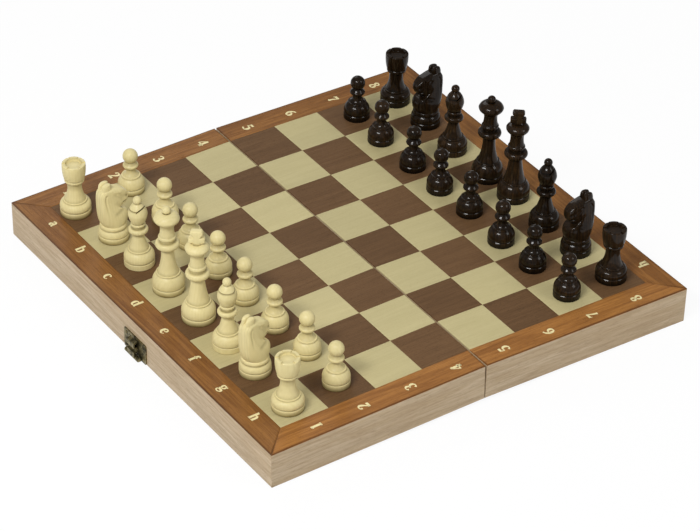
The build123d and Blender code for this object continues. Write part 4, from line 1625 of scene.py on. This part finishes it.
@dataclass
class Crowned(TurnedMan):
    """A king or a queen: the stem above the ring, and the flare of a domed crown."""

    lip: float = 3.1
    edge: float = 5.7
    bow: float = 0.5
    crown_waist: float = 4.2
    waist_drop: float = 4.2
    waist_bow: float = -0.15
    edge_bow: float = -0.45

    def crown_rows(self) -> list[Row]:
        """The outline from the ring up to where the crown is widest.

        Returns:
            The rows, from the ring up.
        """
        low = self.crown - self.lip
        return [
            (self.crown_waist, low - self.waist_drop, self.waist_bow),
            (self.edge, low, self.edge_bow),
            (self.head, self.crown, self.bow),
        ]


@dataclass
class Queen(Crowned):
    """A queen: a domed crown with a ball on top."""

    finial: float = 2.7
    finial_seat: float = 2.0
    dome: float = 4.0

    def outline(self) -> list[Row]:
        """The whole outline.

        Returns:
            The rows, from axis to axis.
        """
        ball = self.ball(self.finial, self.finial_seat, self.height)
        dome = [(self.finial_seat, ball[0][1], self.dome / 3)]
        return self.foot() + self.collars() + self.crown_rows() + dome + ball[1:]


@dataclass
class King(Crowned):
    """A king: a domed crown with a cross."""

    dome: float = 2.6
    cross_width: float = 10.0
    cross_top_width: float = 7.8
    cross_waist: float = 3.8
    cross_level: float = 2.9
    cross_arm: float = 3.4
    cross_thickness: float = 4.2
    cross_seat: float = 2.8
    cross_worn: float = 0.5  # how far the arms' corners are cut back
    cross_end: float = 0.6  # how much of an arm's end is straight
    cross_bevel: float = 0.9
    cross_top: tuple[Span, ...] = ((1.0, 1.0), (0.97, 0.5), (0.8, 0.0))  # shares of width and drop
    cross_core: Span = (-1.0, -0.5)  # the rings on the flat faces, as shares of the way in
    cross_steps: int = 5
    seat_rise: float = 0.15

    def outline(self) -> list[Row]:
        """The whole outline of the turned part.

        Returns:
            The rows, from axis to axis.
        """
        seat = self.crown + self.dome
        return self.foot() + self.collars() + self.crown_rows() + [
            (self.cross_seat, seat, self.dome / 3),
            (0, seat + self.seat_rise),
        ]

    def cross(self) -> Form:
        """The cross, its arms along X, with bevelled edges.

        Rings lie at the outline's points drawn towards the middle by a share, at depths y that fall
        from full thickness to the edge: a function of the way round and the way in.

        Returns:
            The closed form, its foot at the origin.
        """
        arm, waist, end = self.cross_width / 2, self.cross_waist / 2, self.cross_top_width / 2
        level, span, worn = self.cross_level, self.cross_arm / 2, self.cross_worn
        tall, straight = self.height - self.crown - self.dome, self.cross_end * span
        right = [
            (self.cross_seat, 0.0), (waist, level - waist), (arm - worn, level - span),
            (arm, level - straight), (arm, level + straight),
            (arm - worn, level + span), (waist, level + waist),
        ]
        right += [(end * wide, tall - drop * span) for wide, drop in self.cross_top]
        corners = np.array(right + [(-x, z) for x, z in reversed(right)])
        steps = np.linspace(0, 1, self.cross_steps)[:-1, None]
        plan = np.concatenate([a + steps * (b - a) for a, b in zip(corners, np.roll(corners, -1, axis=0))])
        middle = np.array([0, level])
        way = plan - middle
        size = np.hypot(*way.T)[:, None]
        half, bevel = self.cross_thickness / 2, self.cross_bevel
        levels = [(inset, half) for inset in self.cross_core]
        levels += [
            (bevel * (1 - math.sin(turn)), half - bevel * (1 - math.cos(turn)))
            for turn in np.linspace(0, math.pi / 2, self.cross_steps)
        ]
        levels += [(inset, -depth) for inset, depth in reversed(levels)]
        rings = []
        for inset, depth in levels:
            flat = middle + way * (1 + inset if inset < 0 else 1 - inset / size)
            rings.append(np.column_stack([flat[:, 0], np.full(len(flat), depth), flat[:, 1]]))
        return grid_form(np.array(rings))

    def form(self) -> Form:
        """The king, standing on the origin.

        Returns:
            The body and the cross as one form.
        """
        body = turned(outline_points(self.outline()), even_angles(self.sides))
        cross = self.cross().moved(np.eye(3), np.array([0, 0, self.crown + self.dome]))
        return joined([body, cross])


@dataclass(frozen=True)
class Mark:
    """A stroke of the carving in the side view: a swelling, or a dent where its depth is negative."""

    start: Span
    radius: float
    depth: float
    end: Span | None = None

    def relief(self, ahead: np.ndarray, up: np.ndarray) -> np.ndarray:
        """How far it raises each place.

        It is depth * exp(-(d / radius)^2) over the distance d from the segment from start to end.

        Args:
            ahead: How far ahead of the base's axis each place lies.
            up: How high above the base.

        Returns:
            The relief at each place.
        """
        x, z = self.start
        way_x, way_z = np.array(self.end or self.start) - self.start
        t = np.clip(((ahead - x) * way_x + (up - z) * way_z) / max(way_x**2 + way_z**2, TINY), 0, 1)
        away = (ahead - x - t * way_x) ** 2 + (up - z - t * way_z) ** 2
        return self.depth * np.exp(-away / self.radius**2)


CARVING = (
    Mark((-1.0, 17.0), 3.8, 0.4),  # cheek
    Mark((3.6, 17.8), 1.9, -0.25),  # hollow before it
    Mark((1.4, 21.6), 1.1, 0.55),  # eye
    Mark((1.4, 21.6), 2.1, -0.55),  # its socket
    Mark((3.6, 22.8), 0.7, 0.4, (0.0, 23.6)),  # brow
    Mark((4.6, 19.6), 0.9, -0.2, (7.2, 19.0)),  # side of the nose
    Mark((9.4, 15.4), 0.45, -0.8, (5.6, 14.9)),  # mouth
    Mark((8.2, 18.4), 0.7, -0.7),  # nostril
    Mark((-2.6, 11.6), 0.9, -0.1, (-5.0, 18.0)),  # line down the neck
    Mark((4.0, 10.4), 1.3, -0.3, (-0.5, 9.0)),  # throat
)


@dataclass
class Knight:
    """A knight: a carved horse's head on a turned base. It looks along -X."""

    base: float = 9.7
    ring: float = 8.1
    bell: float = 9.0
    seat: float = 12.0
    height: float = 42.4
    sides: int = 84
    stations: int = 150
    around: int = 120
    front: tuple[Span, ...] = (
        (7.8, -0.2), (9.0, 2.0), (9.3, 4.4), (9.0, 6.8), (7.9, 8.8), (5.8, 10.0), (4.3, 10.9),
        (5.4, 12.2), (7.0, 13.1), (8.4, 14.1), (9.3, 15.6), (9.6, 17.6),
    )
    back: tuple[Span, ...] = (
        (-7.8, -0.2), (-9.2, 3.4), (-9.8, 7.6), (-10.0, 12.0), (-10.0, 16.6), (-10.0, 20.8), (-9.4, 24.4),
        (-6.8, 27.0), (-2.6, 26.8), (1.8, 25.7), (5.6, 24.3), (8.8, 21.5),
    )
    half_widths: tuple[float, ...] = (7.8, 7.7, 7.3, 6.6, 5.7, 5.1, 4.8, 4.6, 4.4, 4.1, 3.7, 3.0)
    squareness: float = 0.5  # how much lower the power gets up the neck
    squaring: float = 2.6  # how fast
    side_power: float = 1.5  # how the carving fades towards the throat and the mane
    comb_pitch: float = 4.2  # radians to the millimetre across the mane
    comb_depth: float = 0.06
    comb_from: Span = (0.8, 8.0)  # where the comb starts towards the mane line, and how sharply
    comb_until: Span = (0.72, 10.0)  # where it ends along the head, and how sharply
    comb_mark: float = 2.5
    full_groove: float = 0.9
    muzzle: tuple[Span, ...] = ((1.0, 0.0), (0.6, -0.24), (0.0, -0.3))  # share left and mm ahead
    mane_edge: Span = (0.7, 26.0)  # where the mane's step lies, and how sharp it is
    mane_line: Span = (0.64, 0.06)  # the place and width of the line beside it
    mane_from: Span = (0.22, 6.0)  # where both start along the head, and how sharply
    mane_until: float = 0.6
    mane_rise: float = 0.2
    mane_cut: float = 0.35
    ear_stations: int = 14
    ear_around: int = 24
    ear_size: float = 2.4
    ear_tip: float = 0.02
    ear_shape: Span = (1.5, 0.8)  # radius ahead and to the side, in shares of the size
    ear_place: Span = (5.1, 1.9)  # mm back from the base's axis and to each side
    ear_lean: Span = (0.5, 0.3)  # mm forward and inward at the tip
    ear_dish: Span = (0.35, 0.3)  # depth in mm, and width
    ear_root: float = 24.0  # mm above the base

    def outline(self) -> list[Row]:
        """The outline of the turned base.

        Returns:
            The rows, from axis to axis.
        """
        return base_rows(self.base) + [
            (self.ring, self.bell, self.base * BELL_BOW / 2),
            (self.ring, self.seat - BEVEL, BEVEL),
            (self.ring - BEVEL, self.seat),
            (0, self.seat),
        ]

    def head(self) -> Form:
        """The carved neck and head.

        Each station is a closed section between a point of the front line F(t) and one of the back
        line K(t). At angle a, the point is M + A c(a) along the line from K to F, and B s(a) to the
        side, with c and s the cosine and sine raised to a power below 1, which squares the section
        off. The carving then moves the sides by a relief of places in the side view.

        Returns:
            The closed form on top of the base.
        """
        share, angle = np.linspace(0, 1, self.stations), even_angles(self.around)
        front, back = (smooth_line(list(line), share) for line in (self.front, self.back))
        side = smooth_line([(value, 0.0) for value in self.half_widths], share)[:, 0]
        power = (1.0 - self.squareness * np.clip(share * self.squaring, 0, 1))[:, None]
        cosine, sine = (np.sign(wave) * np.abs(wave) ** power for wave in (np.cos(angle), np.sin(angle)))
        middle, reach = (front + back) / 2, (front - back) / 2
        ahead, up = (middle[:, n][:, None] + reach[:, n][:, None] * cosine for n in (0, 1))
        wide, way = side[:, None] * sine, share[:, None]
        (start, rising), (stop, falling) = self.comb_from, self.comb_until
        comb = np.sin(wide * self.comb_pitch) * self.comb_depth
        comb = comb * np.clip((-cosine - start) * rising, 0, 1) * np.clip((stop - way) * falling, 0, 1)
        ahead = ahead + comb
        carved = self.relief(ahead, up, cosine, way)
        wide = wide + np.sign(sine) * carved * np.abs(sine) ** self.side_power
        rings = np.stack([-ahead, wide, up + self.seat], axis=2)
        root, nose = (ring.mean(axis=1, keepdims=True) for ring in (rings[:1], rings[-1:]))
        ends = [(rings[-1:] - nose) * left + nose + np.array([out, 0, 0]) for left, out in self.muzzle[1:]]
        # The carving's dents and the comb's hollows are marked as grooves, which the finish darkens as
        # painted shade.
        groove = np.clip(-self.relief(ahead, up, cosine, way) / self.full_groove, 0, 1)
        groove = groove + np.clip(comb * self.comb_mark, 0, 1)
        rings = np.concatenate([np.broadcast_to(root, rings[:1].shape), rings, *ends])
        return grid_form(rings, np.concatenate([groove[:1] * 0, groove, groove[-1:] * 0, groove[-1:] * 0]))

    def relief(self, ahead: np.ndarray, up: np.ndarray, across: np.ndarray, share: np.ndarray) -> np.ndarray:
        """How far the carving stands out of the side of the head, in millimetres.

        It is the edge of the mane along the back, 1 / (1 + exp((a + e) k)) across the head with a cut
        exp(-((a + m) / w)^2) beside it, and the sum of the marks.

        Args:
            ahead: How far ahead of the base's axis each point lies.
            up: How high above the base.
            across: -1 at the back line and 1 at the front line.
            share: The way along the head from 0 at the neck's foot.

        Returns:
            The relief at each point.
        """
        (edge_at, sharpness), (line_at, width) = self.mane_edge, self.mane_line
        start, rising = self.mane_from
        mane = 1 / (1 + np.exp((across + edge_at) * sharpness))
        line = np.exp(-(((across + line_at) / width) ** 2))
        low = np.clip((share - start) * rising, 0, 1)
        total = self.mane_rise * mane * low - self.mane_cut * line * low * (share < self.mane_until)
        return total + sum(mark.relief(ahead, up) for mark in CARVING)

    def ears(self) -> Form:
        """Two short ears: sections that shrink and bend forward on their way up.

        At the share t of the way up, a section's radius is the size times the root of 1 - t^3, and its
        front is dished by exp(-(cos a + 1)^2 / w) sin(pi t).

        Returns:
            The ears as one form.
        """
        share = np.linspace(0, 1, self.ear_stations)[:, None]
        angle = even_angles(self.ear_around)
        size = self.ear_size * np.sqrt(np.clip(1 - share**3, 0, 1)) + self.ear_tip
        (long, broad), (back, aside), (forward, inward) = self.ear_shape, self.ear_place, self.ear_lean
        depth, width = self.ear_dish
        dish = np.exp(-((np.cos(angle) + 1) ** 2) / width) * depth * np.sin(share * math.pi)
        root = self.seat + self.ear_root
        z = root + (self.height - root) * np.sin(share * math.pi / 2) + 0 * angle
        x = back - forward * share + size * np.cos(angle) * long
        ears = []
        for sign in (-1, 1):
            y = sign * (aside - inward * share) + size * np.sin(angle) * broad
            rings = np.stack([x + dish, y, z], axis=2)
            low, high = (
                np.broadcast_to(end.mean(axis=1, keepdims=True), end.shape) for end in (rings[:1], rings[-1:])
            )
            ears.append(grid_form(np.concatenate([low, rings, high])))
        return joined(ears)

    def form(self) -> Form:
        """The knight, standing on the origin."""
        base = turned(outline_points(self.outline()), even_angles(self.sides))
        return joined([base, self.head(), self.ears()])


NUDGES = {
    "a1": (5.9, -3.5, 0.0), "c1": (0.8, -1.2, -60.0), "d1": (-0.2, -1.6, 0.0), "e1": (0.0, 0.0, -38.0),
    "g1": (0.1, -3.2, 12.0), "h1": (2.8, 3.2, 0.0), "a2": (-2.3, -4.8, 0.0), "b2": (-3.5, 1.1, 0.0),
    "c2": (-2.7, -0.3, 0.0), "d2": (-1.0, 1.1, 0.0), "g2": (-1.7, -0.5, 0.0), "a8": (2.1, 1.7, 0.0),
    "b8": (3.7, 2.3, 0.0), "c8": (0.0, 0.0, 135.0), "d8": (1.2, -3.6, 0.0), "e8": (2.3, 2.6, -38.0),
    "f8": (0.0, 0.0, 135.0), "h8": (1.3, -1.1, 0.0), "a7": (2.9, -0.9, 0.0), "c7": (0.2, -2.8, 0.0),
    "e7": (1.3, 2.4, 0.0), "f7": (-0.8, -1.2, 0.0), "h7": (0.2, -1.7, 0.0),
}


@dataclass
class Men:
    """The thirty-two men, set up for a game, each a little off the middle of its square."""

    board: Board
    king: King = field(default_factory=lambda: King(
        10.4, 7.4, 12.3, 0.45, 4.1, 29.0, 31.0, 7.45, 4.0, 52.0, 7.3, 64.2))
    queen: Queen = field(default_factory=lambda: Queen(
        10.0, 7.2, 12.6, 0.7, 4.0, 28.0, 31.9, 7.5, 4.0, 52.5, 8.0, 60.8))
    bishop: Bishop = field(default_factory=lambda: Bishop(
        9.6, 6.7, 11.0, 0.25, 3.5, 21.0, 23.9, 6.15, 3.2, 37.0, 6.0, 49.4))
    rook: Rook = field(default_factory=lambda: Rook(
        9.8, 7.3, 9.6, 0.35, 4.5, 18.5, 23.6, 6.3, 2.2, 35.0, 7.4, 36.9))
    pawn: Pawn = field(default_factory=lambda: Pawn(
        8.5, 5.8, 11.2, 0.7, 3.0, 16.5, 17.9, 4.9, 2.4, 25.8, 4.8, 30.6, sides=64))
    knight: Knight = field(default_factory=Knight)
    grain_spread: float = 300.0  # how far apart in the wood the men are cut
    blank: tuple[float, float, float] = (1.0, 0.08, 0.08)  # the same, as shares along and across the wood
    back_rank: tuple[str, ...] = ("rook", "knight", "bishop", "queen", "king", "bishop", "knight", "rook")

    def stand(self, form: Form, half: Half, file: int, rank: int, row: float) -> Form:
        """A man's form where he stands.

        Args:
            form: The man on the origin.
            half: The half that he stands on.
            file: The number of his file, from 0 at a.
            rank: The number of his rank.
            row: How many squares in from the field's end the middle of his square is.

        Returns:
            The form in the box's frame, cut from its own place in the wood.
        """
        sign = -1 if half.faces_white else 1
        out, aside, turn = NUDGES.get(f"{'abcdefgh'[file]}{rank}", (0.0, 0.0, 0.0))
        angle = math.radians(turn)
        cosine, sine = math.cos(angle), math.sin(angle)
        spin = np.array([[cosine, -sine, 0], [sine, cosine, 0], [0, 0, 1]])
        x = self.board.field_end - row * self.board.square + out
        y = sign * ((self.board.files - 1) / 2 - file) * self.board.square + aside
        draw = np.random.default_rng(100 * rank + file)
        tone, place = float(draw.uniform()), draw.uniform(-self.grain_spread, self.grain_spread, 3)
        cut_from = form.toned(tone, tuple(place * self.blank))
        return half.placed(cut_from.moved(spin, np.array([x, y, self.board.top])))

    def build(self) -> None:
        """Makes and dresses all the men."""
        forms = {kind: getattr(self, kind).form() for kind in (*set(self.back_rank), "pawn")}
        white, black = self.board.halves()
        sets = (
            (white, 1, 2, material_once(self.board.made, BOXWOOD), "boxwood"),
            (black, 8, 7, material_once(self.board.made, LACQUERED), "lacquered_wood"),
        )
        for half, back, front, material, slot in sets:
            for file, officer in enumerate(self.back_rank):
                for kind, rank, row in ((officer, back, 0.5), ("pawn", front, 1.5)):
                    node = f"{half.name}_{kind}_{'abcdefgh'[file]}{rank}"
                    form = self.stand(forms[kind], half, file, rank, row)
                    add_piece(f"{node}_finished", form, material, node, (node,))


# ---------------------------------------------------------------- the metal
@dataclass
class Fittings:
    """The hinges, the clasp and the keeper."""

    made: dict[str, bpy.types.Material]

    def build(self) -> None:
        """Dresses the metal pieces."""
        brass = material_once(self.made, HINGE_BRASS)
        antique = material_once(self.made, ANTIQUE_BRASS)
        for colour in ("white", "black"):
            dress(f"{colour}_hinge_leaves", brass)
            dress(f"{colour}_hinge_screws", brass)
        dress("hinge_pins", brass)
        clasp = [f"clasp_{name}" for name in ("plate", "tongue", "pin", "nails")]
        for node in (*clasp, "keeper_plate", "keeper_nails"):
            dress(node, antique)


# ---------------------------------------------------------------- the studio
@dataclass(frozen=True)
class Lamp:
    """A soft light that faces the middle of the board. Metres and watts."""

    name: str
    place: tuple[float, float, float]
    wide: float
    tall: float
    watts: float

    def hang(self) -> None:
        """Puts the lamp in the scene."""
        data = bpy.data.lights.new(self.name, "AREA")
        data.shape, data.size, data.size_y, data.energy = "RECTANGLE", self.wide, self.tall, self.watts
        lamp = bpy.data.objects.new(self.name, data)
        lamp.location = self.place
        lamp.rotation_mode = "QUATERNION"
        lamp.rotation_quaternion = Vector(self.place).to_track_quat("Z", "Y")
        bpy.context.scene.collection.objects.link(lamp)


@dataclass
class Studio:
    """The floor, the light and the camera. Metres and degrees."""

    azimuth: float = -34.6629
    elevation: float = 35.6065
    roll: float = 1.3128
    distance: float = 2.2036
    aim: tuple[float, float, float] = (0.01008, 0.00811, 0.0)
    lens: float = 181.405
    sensor: float = 36.0
    clip: Span = (0.05, 50.0)
    reach: float = 6.0  # half the floor's side
    floor_colour: Colour = (0.82, 0.82, 0.82)
    floor_glow: float = 1.02  # what the floor shows to the camera and in reflections
    floor_seen: float = 0.9  # how much of it, the rest keeping the shadow
    sky_lit: float = 0.33
    sky_shown: float = 1.0
    lamps: tuple[Lamp, ...] = (
        Lamp("key", (-1.1, -0.5, 1.3), 0.8, 0.3, 20.0),
        Lamp("fill", (0.9, -1.3, 1.1), 0.6, 0.6, 5.5),
        Lamp("back", (0.4, 1.5, 1.2), 0.9, 0.9, 6.0),
    )

    def camera(self) -> None:
        """The camera, a long way off with a long lens."""
        data = bpy.data.cameras.new("camera")
        data.lens, data.sensor_width = self.lens, self.sensor
        data.clip_start, data.clip_end = self.clip
        camera = bpy.data.objects.new("camera", data)
        turn, lift = math.radians(self.azimuth), math.radians(self.elevation)
        back = Vector((math.sin(turn) * math.cos(lift), -math.cos(turn) * math.cos(lift), math.sin(lift)))
        camera.location = Vector(self.aim) + back * self.distance
        spin = Matrix.Rotation(math.radians(self.roll), 4, "Z")
        camera.rotation_mode = "QUATERNION"
        turned_back = back.to_track_quat("Z", "Y").to_matrix().to_4x4()
        camera.rotation_quaternion = (turned_back @ spin).to_quaternion()
        bpy.context.scene.collection.objects.link(camera)
        bpy.context.scene.camera = camera

    def floor(self) -> None:
        """A plain pale floor that keeps the shadow, and shows white to the camera and in reflections."""
        mesh = bpy.data.meshes.new("floor")
        signs = ((-1, -1), (1, -1), (1, 1), (-1, 1))
        mesh.from_pydata([(x * self.reach, y * self.reach, 0) for x, y in signs], [], [(0, 1, 2, 3)])
        floor = bpy.data.objects.new("floor", mesh)
        bpy.context.scene.collection.objects.link(floor)
        recipe = Recipe("pale_floor")
        path = recipe.node("LightPath")
        camera, glossy, through = (
            Signal(recipe, path.outputs[f"Is {ray} Ray"]) for ray in ("Camera", "Glossy", "Transmission")
        )
        seen = (camera + glossy + through).clipped()
        matt = recipe.node("BsdfDiffuse", None, {"Color": self.floor_colour})
        white = recipe.node("Emission", None, {"Color": WHITE, "Strength": self.floor_glow})
        inputs = {0: seen * self.floor_seen, 1: matt.outputs[0], 2: white.outputs[0]}
        both = recipe.node("MixShader", None, inputs)
        recipe.tree.links.new(both.outputs[0], recipe.output.inputs["Surface"])
        mesh.materials.append(recipe.material)

    def world(self) -> None:
        """An even sky, white where the camera sees it."""
        world = bpy.data.worlds.new("studio")
        bpy.context.scene.world = world
        world.use_nodes = True
        tree = world.node_tree
        tree.nodes.clear()
        output, path, mix = (
            tree.nodes.new(f"ShaderNode{kind}") for kind in ("OutputWorld", "LightPath", "MixShader")
        )
        for number, strength in enumerate((self.sky_lit, self.sky_shown), 1):
            sky = tree.nodes.new("ShaderNodeBackground")
            sky.inputs["Color"].default_value = (*WHITE, 1.0)
            sky.inputs["Strength"].default_value = strength
            tree.links.new(sky.outputs[0], mix.inputs[number])
        tree.links.new(path.outputs["Is Camera Ray"], mix.inputs[0])
        tree.links.new(mix.outputs[0], output.inputs["Surface"])

    def build(self) -> None:
        """Sets up the studio."""
        bpy.context.scene.view_settings.view_transform = "Standard"
        self.camera()
        self.floor()
        self.world()
        for lamp in self.lamps:
            lamp.hang()


def main() -> None:
    """Builds the box, its men and the studio round them."""
    logging.basicConfig(level=logging.INFO, format="%(message)s")
    board = Board()
    board.build()
    Lettering(board).build()
    Men(board).build()
    Fittings(board.made).build()
    Studio().build()


if __name__ == "__main__":
    main()
